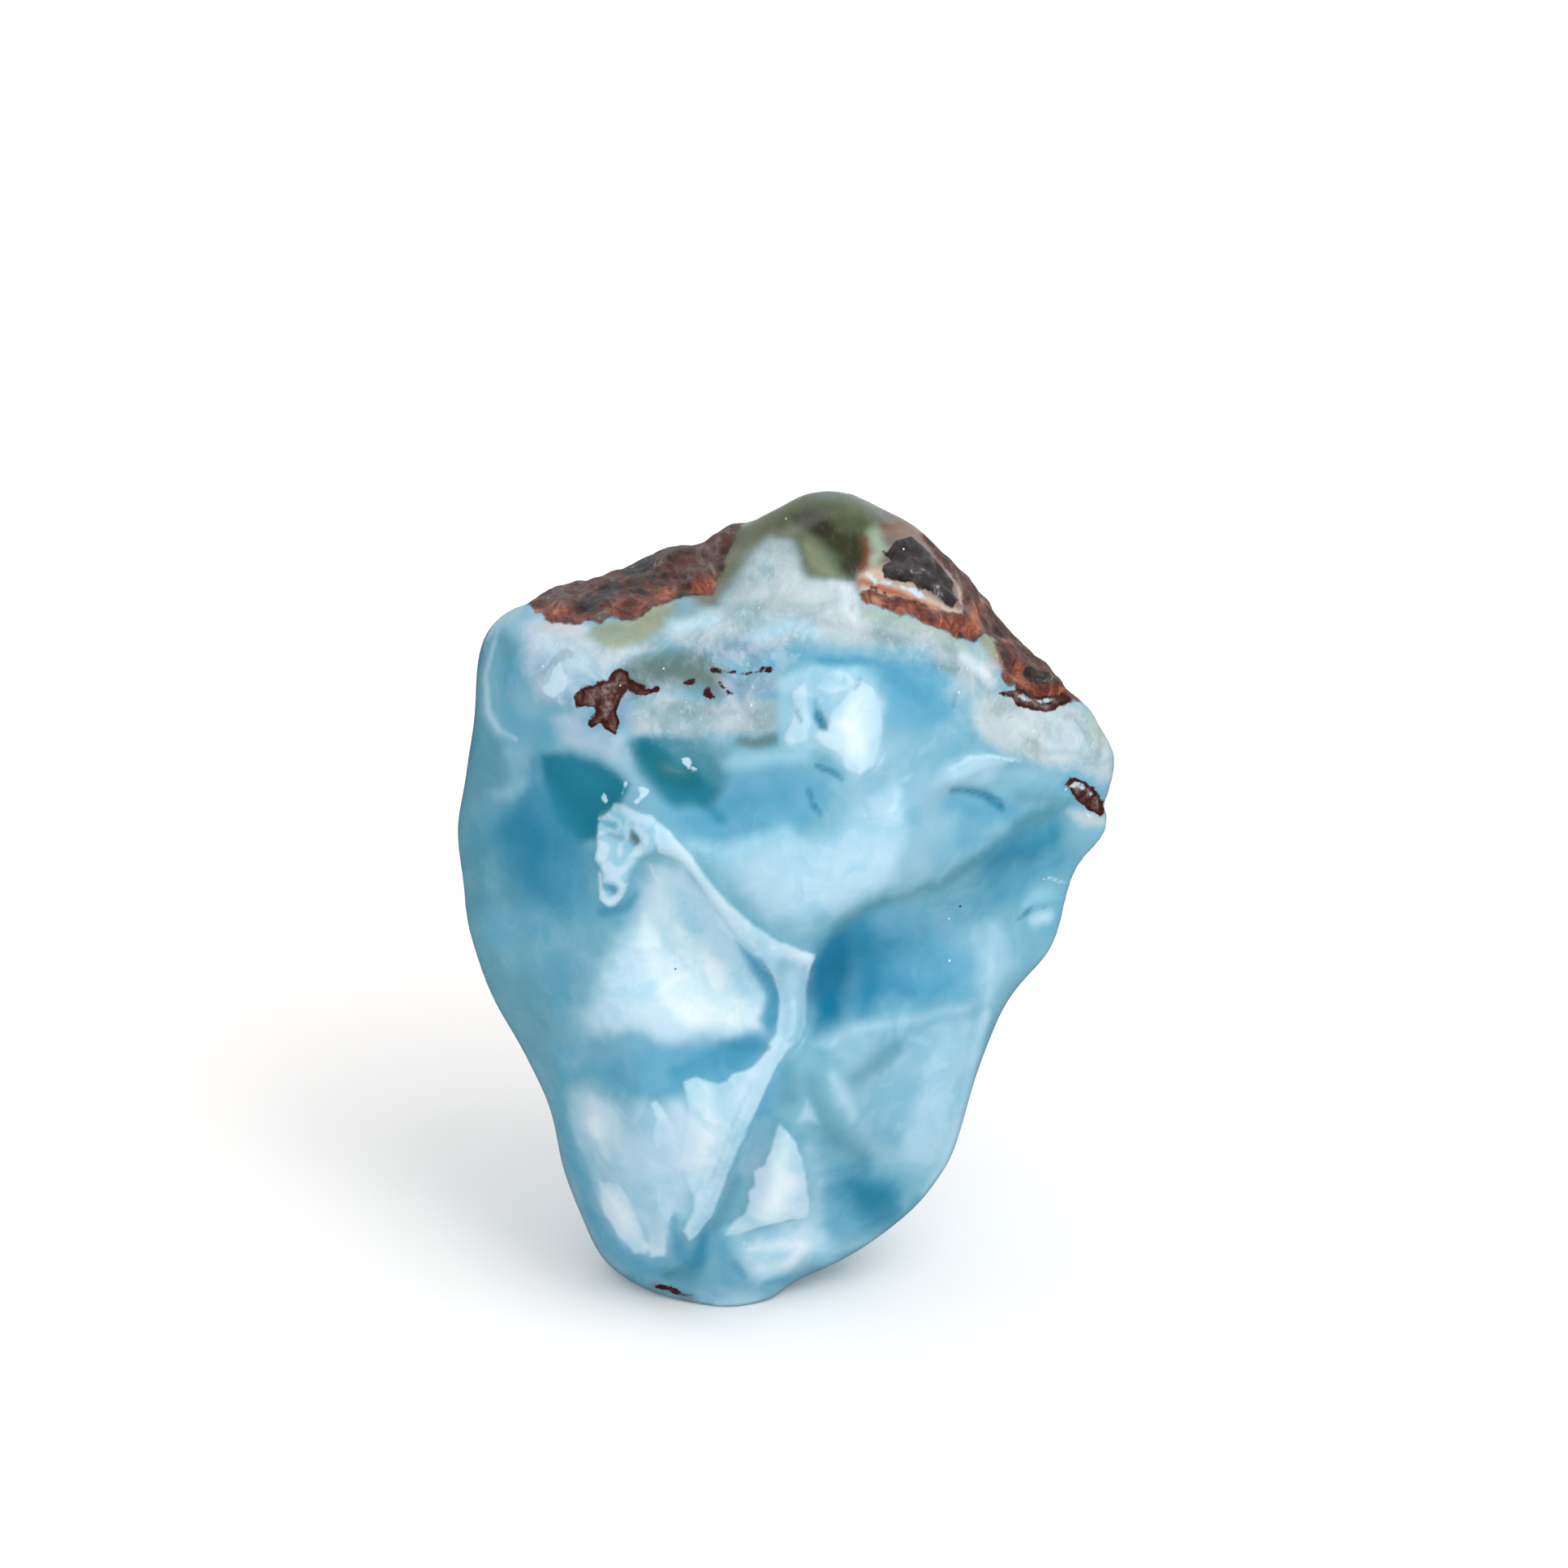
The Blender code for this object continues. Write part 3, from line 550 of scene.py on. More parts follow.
    Wash(Tint.SKY, 0.7, 0.25, ((16.4, 34.7, 0.15), (18.0, 34.5, 0.12))),
    Wash(Tint.JADE, 0.6, 0.4, ((19.2, 36.6, 0.3), (19.9, 35.2, 0.4))),
    Wash(Tint.FROST, 0.9, 0.3, ((17.8, 30.8, 0.2), (18.8, 30.4, 0.4), (20.0, 30.4, 0.3))),
    # The pale crown.
    Wash(Tint.OLIVE, 0.9, 0.7, (
        (-9.0, 45.0, 1.0), (-4.0, 46.4, 1.6), (0.0, 49.4, 1.4), (4.4, 50.4, 1.4), (8.6, 48.6, 1.4),
    )),
    Wash(Tint.RUST, 0.6, 0.5, RIND_BED),
    Wash(Tint.TAUPE, 0.7, 0.6, RIND_BED),
    Wash(Tint.GREY, 0.97, 0.8, (
        (-7.4, 41.6), (-5.2, 43.6), (-3.2, 44.2), (-2.0, 46.8), (-0.2, 47.8), (0.9, 47.0), (1.4, 45.4),
        (3.6, 45.0), (4.8, 44.4), (7.0, 43.2), (9.6, 41.8), (12.4, 41.4), (13.4, 39.8), (13.6, 38.4),
        (11.6, 38.4), (9.4, 40.6), (6.0, 41.0), (3.4, 41.6), (0.0, 41.4), (-3.0, 40.6), (-6.0, 40.8),
    )),
    Wash(Tint.FROST, 0.9, 0.6, ((-1.4, 46.0, 0.6), (0.4, 45.6, 0.9), (2.6, 44.4, 0.7), (5.0, 43.0, 0.5))),
    Wash(Tint.HAZE, 0.5, 0.3, ((-0.9, 47.2, 0.1), (-0.8, 45.0, 0.2))),
    Wash(Tint.MILK, 0.8, 0.5, ((-6.4, 42.2, 0.5), (-4.2, 42.6, 0.7))),
    Wash(Tint.FOAM, 0.9, 0.7, ((-1.4, 42.0, 0.4), (0.4, 42.6, 0.7), (2.2, 42.0, 0.5))),
    Wash(Tint.SLATE, 0.85, 0.5, ((-3.2, 41.2, 0.4), (-1.8, 40.9, 0.5))),
    Wash(Tint.IRIS, 0.7, 0.6, ((-4.6, 40.8, 0.4), (-0.6, 40.8, 0.4))),
    Wash(Tint.SKY, 0.85, 0.5, ((-0.2, 40.2, 0.5), (2.0, 40.5, 0.6), (4.4, 40.3, 0.5))),
    Wash(Tint.AZURE, 0.8, 0.3, ((2.6, 40.1, 0.2), (5.0, 40.0, 0.3), (6.4, 39.8, 0.2))),
    Wash(Tint.JADE, 0.7, 0.4, ((5.4, 43.0, 0.3), (7.2, 42.7, 0.3), (9.4, 41.8, 0.3), (11.4, 41.1, 0.3))),
    Wash(Tint.SMOKE, 0.5, 0.4, ((5.6, 41.8, 0.3), (7.4, 41.4, 0.3))),
    Wash(Tint.SMOKE, 0.5, 0.4, ((9.6, 39.8, 0.3), (11.4, 39.6, 0.4))),
    Wash(Tint.CHALK, 0.9, 0.3, ((3.2, 45.2, 0.3), (4.2, 44.8, 0.4), (4.4, 43.4, 0.5), (4.8, 42.7, 0.2))),
    Wash(Tint.CHALK, 0.9, 0.3, ((11.4, 40.4, 0.3), (12.4, 39.6, 0.4), (13.0, 38.8, 0.3))),
    Wash(Tint.MOSS, 0.97, 0.4, (
        (-5.0, 43.8), (-3.8, 43.6), (-3.4, 44.8), (-2.6, 46.2), (-1.6, 47.4), (-0.4, 48.0), (0.8, 47.2),
        (1.2, 46.0), (1.8, 45.4), (3.4, 45.2), (4.6, 45.2), (5.0, 46.4), (5.4, 48.0), (6.6, 48.8),
        (8.0, 49.2), (8.4, 52.0), (-4.0, 52.0), (-6.4, 47.0), (-6.0, 44.6),
    )),
    Wash(Tint.OLIVE, 0.97, 0.4, (
        (-4.4, 45.4, 0.4), (-3.0, 47.2, 0.5), (-0.6, 48.9, 0.6), (2.4, 49.6, 0.7), (4.6, 48.8, 0.7),
        (4.6, 46.8, 0.4),
    )),
    Wash(Tint.SAGE, 0.7, 0.4, ((1.6, 47.2, 0.4), (2.4, 46.2, 0.6), (3.0, 45.8, 0.3))),
    Wash(Tint.PEAT, 0.97, 0.3, (
        (0.7, 49.3), (1.8, 49.6), (3.0, 49.4), (3.4, 48.4), (4.6, 48.2), (5.1, 47.4), (5.0, 46.0),
        (4.4, 45.4), (3.7, 45.9), (3.4, 46.8), (2.4, 47.7), (1.4, 48.2),
    )),
    Wash(Tint.BASALT, 0.8, 0.3, ((1.2, 49.0, 0.3), (2.2, 48.8, 0.5), (2.7, 48.3, 0.3))),
    Wash(Tint.JADE, 0.8, 0.4, ((5.8, 48.2, 0.5), (6.1, 47.0, 0.4), (5.6, 46.4, 0.3))),
    Wash(Tint.SMOKE, 0.7, 0.3, ((2.6, 50.6, 0.2), (4.6, 50.6, 0.3), (6.2, 49.8, 0.3))),
    Wash(Tint.RUST, 0.9, 0.2, ((5.2, 47.8, 0.15), (5.3, 46.8, 0.15), (5.0, 45.8, 0.2))),
    Wash(Tint.RUST, 0.8, 0.25, ((6.4, 48.6, 0.15), (7.6, 48.8, 0.2))),
    Wash(Tint.SAND, 0.8, 0.3, (
        (4.8, 45.6), (5.6, 46.0), (6.4, 46.0), (6.6, 45.2), (8.0, 44.9), (9.6, 44.1), (10.6, 43.6),
        (11.4, 43.2), (10.4, 43.0), (8.6, 43.6), (6.4, 44.2), (5.0, 44.6),
    )),
    Wash(Tint.ORANGE, 0.9, 0.2, (
        (5.0, 45.2, 0.15), (6.6, 44.6, 0.2), (8.0, 44.1, 0.15), (9.8, 43.5, 0.12),
    )),
    Wash(Tint.MAUVE, 0.7, 0.3, ((9.9, 47.0, 0.3), (11.0, 45.4, 0.4), (11.8, 43.9, 0.3))),
    Wash(Tint.SAND, 0.7, 0.12, ((10.2, 46.4, 0.1), (11.0, 45.0, 0.12), (11.3, 43.8, 0.1))),
    Wash(Tint.SAGE, 0.8, 0.5, ((12.8, 42.0, 0.4), (13.4, 41.0, 0.5))),
    # The sage stain and the grey green belt around the brown star.
    Wash(Tint.FROST, 0.9, 0.6, (
        (-14.6, 42.2, 0.4), (-12.4, 41.4, 0.6), (-10.2, 40.4, 0.5), (-8.0, 40.9, 0.4),
    )),
    Wash(Tint.SAGE, 0.9, 0.35, (
        (-11.6, 41.7), (-11.2, 42.6), (-9.0, 42.8), (-7.6, 43.7), (-6.4, 43.8), (-7.0, 42.4), (-8.0, 41.4),
        (-10.0, 40.8),
    )),
    Wash(Tint.SAND, 0.5, 0.4, ((-14.0, 42.4, 0.2), (-12.2, 42.2, 0.2))),
    Wash(Tint.SMOKE, 0.9, 0.6, (
        (-9.4, 39.8), (-7.4, 40.6), (-4.4, 40.4), (-3.2, 39.6), (-3.6, 38.0), (-5.4, 38.4), (-7.4, 38.2),
        (-9.4, 38.0),
    )),
    Wash(Tint.IRIS, 0.8, 0.4, ((-9.4, 38.0, 0.4), (-9.2, 36.6, 0.4))),
    Wash(Tint.IRIS, 0.6, 0.4, ((-12.9, 38.0, 0.3), (-12.2, 36.9, 0.3), (-10.6, 35.6, 0.2))),
)

# The pale colours of the crisp white patches: the stone's white, with painted highlights and reflections.
FACE_PALE_AND_HIGHLIGHTS: tuple[Wash, ...] = (
    # The cord, the elbow and the facets. The icy lines on the cord and the icy marks on the facets are
    # painted highlights, and the pale strip along the ridge is painted light on its lit side.
    Wash(Tint.HAZE, 0.7, 0.4, ((0.6, 22.0, 0.7), (0.9, 20.6, 0.9), (0.9, 18.6, 0.8), (0.6, 17.2, 0.6))),
    Wash(Tint.HAZE, 0.8, 0.3, ((1.6, 21.6, 0.2), (1.3, 20.0, 0.3), (1.3, 18.6, 0.3), (0.9, 17.3, 0.2))),
    Wash(Tint.ICE, 0.7, 0.3, ((-0.4, 22.9, 0.3), (1.0, 22.5, 0.3), (2.0, 22.3, 0.2))),
    Wash(Tint.HAZE, 0.7, 0.25, (
        (-7.0, 28.7, 0.15), (-5.6, 27.6, 0.2), (-4.0, 25.4, 0.2), (-2.4, 23.3, 0.2), (-0.9, 22.0, 0.15),
    )),
    Wash(Tint.ICE, 0.7, 0.3, ((-6.6, 29.6, 0.1), (-5.0, 28.0, 0.1), (-3.0, 25.4, 0.1), (-1.6, 24.2, 0.1))),
    Wash(Tint.PALE, 0.8, 0.2, (
        (0.0, 16.6, 0.35), (-1.4, 14.2, 0.3), (-2.6, 11.2, 0.3), (-4.0, 7.8, 0.25), (-5.2, 5.4, 0.2),
    )),
    Wash(Tint.HAZE, 0.5, 0.15, ((-1.6, 14.9, 0.1), (-2.9, 12.0, 0.1), (-4.1, 8.8, 0.1))),
    Wash(Tint.ICE, 0.8, 0.6, ((-4.6, 13.8, 0.5), (-4.0, 12.0, 0.6), (-4.8, 9.6, 0.4))),
    Wash(Tint.PALE, 0.7, 0.5, ((-3.4, 14.4, 0.3), (-1.8, 15.0, 0.2))),
    Wash(Tint.ICE, 0.95, 0.6, ((0.4, 11.0, 0.3), (0.2, 8.6, 0.8), (-0.6, 7.0, 0.6))),
    Wash(Tint.ICE, 0.7, 0.4, ((-10.4, 7.6, 0.4), (-9.4, 5.8, 0.5), (-8.4, 4.4, 0.3))),
    Wash(Tint.ICE, 0.5, 0.3, ((-7.2, 12.8, 0.2), (-6.9, 11.6, 0.3))),
    # The white lump and its column; the icy white on the lump is a painted reflection of the lamp.
    Wash(Tint.ICE, 0.8, 0.5, ((3.8, 36.4, 0.3), (4.6, 36.6, 0.5), (4.6, 34.8, 0.4))),
    Wash(Tint.PALE, 0.8, 0.4, ((5.9, 37.6, 0.2), (6.0, 35.6, 0.3), (5.5, 33.8, 0.2))),
    Wash(Tint.PALE, 0.9, 0.3, ((2.6, 39.0, 0.4), (4.0, 38.8, 0.3))),
    # The shards on the lower left: painted reflections of the lamp on small facets.
    Wash(Tint.PALE, 0.7, 0.5, ((-7.6, 5.0, 0.5), (-7.0, 7.4, 0.5), (-6.9, 12.0, 0.4))),
)

FACE_INLAYS: tuple[Inlay, ...] = (
    Inlay(Vein.MILK, CORD),
    Inlay(Vein.MILK, WHITE_LUMP_WITH_GLARE),
    Inlay(Vein.MILK, WHITE_COLUMN),
    Inlay(Vein.MILK, BRIGHT_FACET),
    Inlay(Vein.MILK, MILKY_LIT_FACET),
    Inlay(Vein.MILK, (
        (2.3, 38.5), (2.9, 39.2), (3.6, 39.5), (4.3, 39.3), (4.6, 38.8), (4.1, 38.3), (3.0, 38.2),
    )),
    # A painted reflection of the lamp on a small facet.
    Inlay(Vein.MILK, (
        (-7.4, 13.6), (-7.0, 12.8), (-6.6, 12.2), (-6.2, 11.2), (-7.0, 10.9), (-7.3, 10.7), (-7.5, 11.2),
        (-7.4, 12.4), (-7.7, 13.3),
    )),
    # The shards on the lower left: painted reflections of the lamp on small facets.
    Inlay(Vein.MILK, (
        (-10.4, 8.3), (-9.8, 8.0), (-9.2, 7.2), (-8.8, 6.2), (-8.3, 5.2), (-7.9, 4.4), (-8.1, 3.8),
        (-8.8, 3.8), (-9.2, 4.4), (-9.9, 5.0), (-10.2, 5.6), (-10.7, 6.2), (-10.9, 7.2), (-11.1, 8.4),
        (-10.6, 8.2),
    )),
    Inlay(Vein.MILK, (
        (-7.3, 8.5), (-7.1, 7.8), (-6.8, 6.9), (-6.6, 6.3), (-7.0, 5.9), (-7.4, 6.6), (-7.5, 7.4),
    )),
    Inlay(Vein.MILK, (
        (-7.9, 5.2), (-7.5, 5.0), (-7.1, 5.5), (-7.0, 4.6), (-7.1, 3.6), (-7.8, 3.6), (-8.0, 4.2),
    )),
    # The glossy knot's white bits: painted glints on its beads and pits.
    Inlay(Vein.MILK, (
        (-10.9, 30.6, 0.1), (-10.2, 30.8, 0.15), (-9.5, 30.5, 0.12), (-9.2, 30.1, 0.1), (-9.5, 29.8, 0.12),
        (-10.3, 29.9, 0.12), (-10.9, 29.6, 0.15),
    )),
    Inlay(Vein.MILK, ((-9.9, 31.4, 0.1), (-9.2, 31.0, 0.2), (-8.5, 30.5, 0.25), (-7.8, 30.3, 0.3))),
    Inlay(Vein.MILK, ((-8.9, 30.6, 0.15), (-8.9, 29.8, 0.2), (-9.3, 29.0, 0.2), (-9.4, 28.4, 0.15))),
    Inlay(Vein.MILK, ((-8.4, 30.0, 0.15), (-7.9, 29.4, 0.25), (-8.3, 28.7, 0.25), (-8.8, 28.2, 0.1))),
    Inlay(Vein.MILK, ((-11.0, 29.2, 0.12), (-10.4, 28.8, 0.35), (-10.6, 28.1, 0.3), (-11.1, 28.0, 0.05))),
    Inlay(Vein.MILK, ((-10.2, 27.6, 0.35), (-9.8, 27.2, 0.3), (-9.2, 27.6, 0.15), (-8.6, 28.2, 0.1))),
    Inlay(Vein.MILK, (
        (-10.8, 27.2, 0.12), (-10.7, 26.3, 0.15), (-10.6, 25.7, 0.2), (-10.1, 25.4, 0.2),
        (-9.6, 25.9, 0.15), (-9.3, 26.5, 0.15), (-9.7, 26.9, 0.12), (-10.3, 26.8, 0.1),
    )),
    Inlay(Vein.MILK, ((10.4, 33.5, 0.06), (11.6, 34.2, 0.1), (12.8, 34.4, 0.1), (14.6, 34.1, 0.06))),
    # A painted glint on the right edge.
    Inlay(Vein.MILK, ((16.7, 26.8, 0.06), (17.6, 26.5, 0.08))),
    Inlay(Vein.POOL, ((1.8, 32.2, 0.12), (2.1, 31.4, 0.18), (2.6, 30.8, 0.1))),
    Inlay(Vein.POOL, ((2.3, 33.7, 0.12), (3.2, 33.5, 0.15), (3.9, 32.9, 0.12))),
    Inlay(Vein.POOL, ((2.3, 37.0, 0.2), (2.6, 36.3, 0.25), (2.9, 36.0, 0.1))),
    Inlay(Vein.POOL, ((1.2, 37.0, 0.1), (1.4, 36.5, 0.12))),
    Inlay(Vein.POOL, ((4.9, 38.9, 0.05), (4.8, 38.5, 0.08), (4.5, 38.2, 0.04))),
    Inlay(Vein.POOL, ((11.4, 32.2, 0.02), (12.6, 32.1, 0.15), (13.4, 31.7, 0.15), (13.9, 31.2, 0.05))),
    Inlay(Vein.POOL, ((14.8, 24.3, 0.05), (15.5, 24.9, 0.12), (16.4, 25.1, 0.06))),
    Inlay(Vein.POOL, ((10.7, 38.1, 0.05), (10.6, 37.3, 0.08))),
    Inlay(Vein.CHALK, ((-7.8, 27.7, 0.05), (-7.5, 27.2, 0.14), (-7.4, 26.6, 0.08))),
    Inlay(Vein.CHALK, ((-7.4, 25.9, 0.05), (-7.3, 25.3, 0.16), (-7.0, 24.6, 0.25), (-6.9, 24.2, 0.2))),
    Inlay(Vein.CHALK, ((-6.7, 23.7, 0.08), (-6.4, 23.1, 0.12), (-6.3, 22.7, 0.06))),
    Inlay(Vein.CHALK, ((14.0, 38.2, 0.04), (15.4, 37.8, 0.06), (16.8, 37.8, 0.04))),
    Inlay(Vein.CHALK, ((17.8, 32.4, 0.04), (18.6, 32.4, 0.06), (19.4, 32.0, 0.04))),
    Inlay(Vein.CHALK, ((18.4, 31.2, 0.04), (18.9, 30.7, 0.06), (19.8, 30.6, 0.05))),
    Inlay(Vein.CHALK, (
        (-13.1, 40.2), (-12.9, 39.3), (-12.9, 38.6), (-13.2, 38.1), (-13.1, 37.5), (-13.4, 37.3),
        (-13.6, 38.0), (-14.2, 38.2), (-14.4, 38.7), (-13.9, 39.2), (-13.6, 39.8),
    )),
    Inlay(Vein.CHALK, ((-5.9, 34.2), (-5.4, 34.1), (-5.1, 33.6), (-4.8, 33.6), (-5.0, 33.2), (-5.4, 33.5))),
    Inlay(Vein.CHALK, ((-4.8, 32.7, 0.05), (-4.2, 32.6, 0.06))),
    Inlay(Vein.CHALK, ((5.4, 45.5, 0.12), (6.0, 45.1, 0.2), (6.8, 45.0, 0.1))),
    Inlay(Vein.CHALK, ((7.3, 44.8, 0.1), (8.2, 44.5, 0.14), (9.0, 44.2, 0.06))),
    Inlay(Vein.CHALK, ((-10.7, 32.0, 0.1), (-10.5, 31.7, 0.1))),
    Inlay(Vein.CHALK, ((-9.3, 32.7, 0.06), (-9.5, 32.1, 0.1))),
    Inlay(Vein.CHALK, ((-8.4, 32.2, 0.08), (-8.1, 32.0, 0.12), (-8.6, 31.5, 0.05))),
    Inlay(Vein.INCLUSION, BROWN_STAR),
    Inlay(Vein.INCLUSION, ((-9.1, 38.7, 0.3), (-8.4, 38.2, 0.25), (-7.4, 38.3, 0.1))),
    Inlay(Vein.INCLUSION, ((-4.1, 39.5, 0.08), (-2.5, 39.5, 0.06))),
    Inlay(Vein.INCLUSION, ((-2.1, 39.4, 0.12), (-0.6, 39.6, 0.12))),
    Inlay(Vein.INCLUSION, ((-6.0, 38.7, 0.1), (-5.4, 38.8, 0.1))),
    Inlay(Vein.INCLUSION, ((-4.4, 38.2, 0.15), (-4.0, 37.9, 0.15))),
    Inlay(Vein.INCLUSION, ((-3.7, 38.8, 0.12), (-2.9, 38.2, 0.12))),
    Inlay(Vein.INCLUSION, BROWN_LENS),
    Inlay(Vein.INCLUSION, ((5.3, 44.9, 0.05), (6.2, 44.6, 0.1), (7.2, 44.2, 0.06))),
    Inlay(Vein.INCLUSION, ((-7.5, 1.6, 0.15), (-6.4, 1.3, 0.2), (-5.3, 1.0, 0.1))),
    Inlay(Vein.INCLUSION, (
        (13.6, 38.2), (14.4, 37.6), (15.4, 37.2), (16.4, 37.1), (17.4, 37.4), (18.2, 37.9), (17.0, 38.1),
        (15.4, 38.2), (14.4, 38.4),
    )),
    Inlay(Vein.BASALT, DARK_PLATE),
    Inlay(Vein.BASALT, ((-10.0, 46.1, 0.3), (-8.8, 46.3, 0.5), (-7.8, 46.5, 0.3))),
    Inlay(Vein.BASALT, ((-12.1, 43.9, 0.3), (-11.4, 44.0, 0.45), (-10.8, 44.6, 0.35), (-10.2, 45.0, 0.3))),
    Inlay(Vein.BASALT, ((15.4, 39.5, 0.4), (16.4, 39.1, 0.4))),
    Inlay(Vein.RUST, (
        (5.2, 43.9, 0.5), (7.2, 43.6, 0.5), (9.0, 42.9, 0.5), (10.8, 42.2, 0.5), (12.1, 42.4, 0.5),
        (12.4, 43.6, 0.3),
    )),
    Inlay(Vein.RUST, (
        (13.9, 41.4), (14.4, 41.2), (14.9, 40.2), (15.6, 38.9), (17.0, 38.4), (18.2, 38.0), (17.2, 37.8),
        (15.6, 37.9), (14.6, 38.4), (13.7, 39.0), (14.0, 40.0),
    )),
    Inlay(Vein.RUST, ((-15.2, 43.4, 0.4), (-13.4, 43.0, 0.6), (-12.0, 43.0, 0.3))),
    Inlay(Vein.RUST, ((-10.0, 43.4, 0.4), (-8.2, 43.6, 0.6), (-6.8, 44.3, 0.4))),
    Inlay(Vein.RUST, ((-5.4, 44.6, 0.3), (-4.4, 44.9, 0.5))),
    Inlay(Vein.RIND, (
        (-16.2, 43.9), (-15.3, 43.7), (-14.6, 43.1), (-13.8, 42.6), (-12.5, 42.5), (-11.8, 42.9),
        (-11.0, 42.6), (-10.0, 42.9), (-8.8, 42.8), (-8.0, 43.1), (-7.0, 43.8), (-6.0, 44.2), (-5.2, 44.4),
        (-4.2, 44.4), (-3.8, 45.3), (-3.4, 46.2), (-3.0, 47.6), (-2.2, 49.0), (-4.0, 52.0), (-18.0, 48.0),
    )),
    Inlay(Vein.RIND, (
        (4.8, 44.4), (5.6, 43.6), (7.0, 43.2), (8.6, 42.7), (9.8, 42.0), (10.8, 41.6), (12.0, 41.5),
        (12.7, 42.0), (13.4, 41.6), (13.8, 40.0), (13.7, 38.8), (14.4, 38.3), (15.6, 37.8), (17.2, 37.6),
        (18.6, 37.8), (21.0, 38.0), (16.0, 46.0), (9.0, 52.0), (8.4, 49.0), (9.6, 47.2), (10.8, 45.2),
        (11.6, 43.6), (11.4, 43.0), (10.2, 43.2), (8.6, 43.8), (7.0, 44.3), (5.6, 44.6),
    )),
    Inlay(Vein.MOSS, (
        (-11.0, 42.3, 0.2), (-9.4, 42.2, 0.4), (-7.8, 42.8, 0.5), (-5.6, 43.6, 0.5), (-3.8, 44.4, 0.8),
        (-2.6, 46.4, 1.0),
    )),
    Inlay(Vein.MOSS, (
        (-2.0, 48.4), (-1.4, 47.2), (0.4, 47.6), (1.4, 46.6), (1.6, 45.4), (3.4, 45.4), (4.6, 45.6),
        (5.4, 47.4), (6.4, 48.8), (7.4, 49.6), (6.0, 52.0), (-2.0, 51.0),
    )),
    Inlay(Vein.MOSS, ((-9.0, 39.4, 0.4), (-7.6, 39.6, 0.7), (-5.6, 39.4, 0.8), (-4.2, 38.8, 0.5))),
    Inlay(Vein.GRAIN, (
        (-15.0, 42.0), (-9.0, 41.0), (-6.0, 43.4), (-3.4, 44.0), (-1.6, 47.0), (0.8, 47.4), (2.0, 45.6),
        (4.8, 45.4), (5.4, 43.4), (9.8, 41.8), (13.6, 40.4), (14.4, 38.2), (20.6, 37.0), (20.6, 33.0),
        (15.0, 34.4), (11.0, 37.6), (8.0, 40.6), (2.0, 41.2), (-1.0, 38.0), (-0.4, 35.6), (-8.4, 35.6),
        (-9.4, 37.4), (-13.6, 37.6), (-15.6, 39.6),
    )),
)

FACE_FORMS: tuple[Form, ...] = (
    # The cord and the facets beside it.
    Form(0.28, 0.45, CORD),
    Form(0.2, 0.3, ((-0.4, 16.6, 0.3), (-1.5, 13.2, 0.3), (-3.0, 9.2, 0.3), (-4.3, 6.4, 0.2))),
    Form(0.12, 0.3, MILKY_LIT_FACET),
    Form(0.1, 0.3, BRIGHT_FACET),
    # The glossy knot with its pits and beads.
    Form(0.3, 0.2, GLOSSY_KNOT),
    Form(-0.35, 0.25, ((-10.4, 29.6, 0.15), (-9.4, 29.4, 0.25))),
    Form(-0.3, 0.2, ((-10.1, 26.3, 0.25), (-9.8, 26.0, 0.2))),
    Form(-0.3, 0.2, ((-8.7, 29.4, 0.25), (-8.3, 29.1, 0.2))),
    # The white lump, the column beside it and the lobe on the right.
    Form(0.22, 0.45, WHITE_LUMP_WITH_GLARE),
    Form(0.15, 0.3, WHITE_COLUMN),
    Form(-0.25, 0.2, ((2.3, 37.0, 0.2), (2.6, 36.2, 0.25))),
    Form(0.2, 0.3, ((10.4, 32.9, 0.3), (12.2, 33.9, 0.4), (14.0, 34.1, 0.2), (16.8, 33.8, 0.1))),
    Form(-0.3, 0.3, ((10.6, 32.2, 0.1), (12.6, 32.0, 0.2), (13.8, 31.2, 0.2))),
    # Inclusions lie a little under the surface, and the dark plate a little over it.
    Form(-0.2, 0.15, BROWN_STAR),
    Form(-0.2, 0.15, BROWN_LENS),
    Form(0.15, 0.15, DARK_PLATE),
)


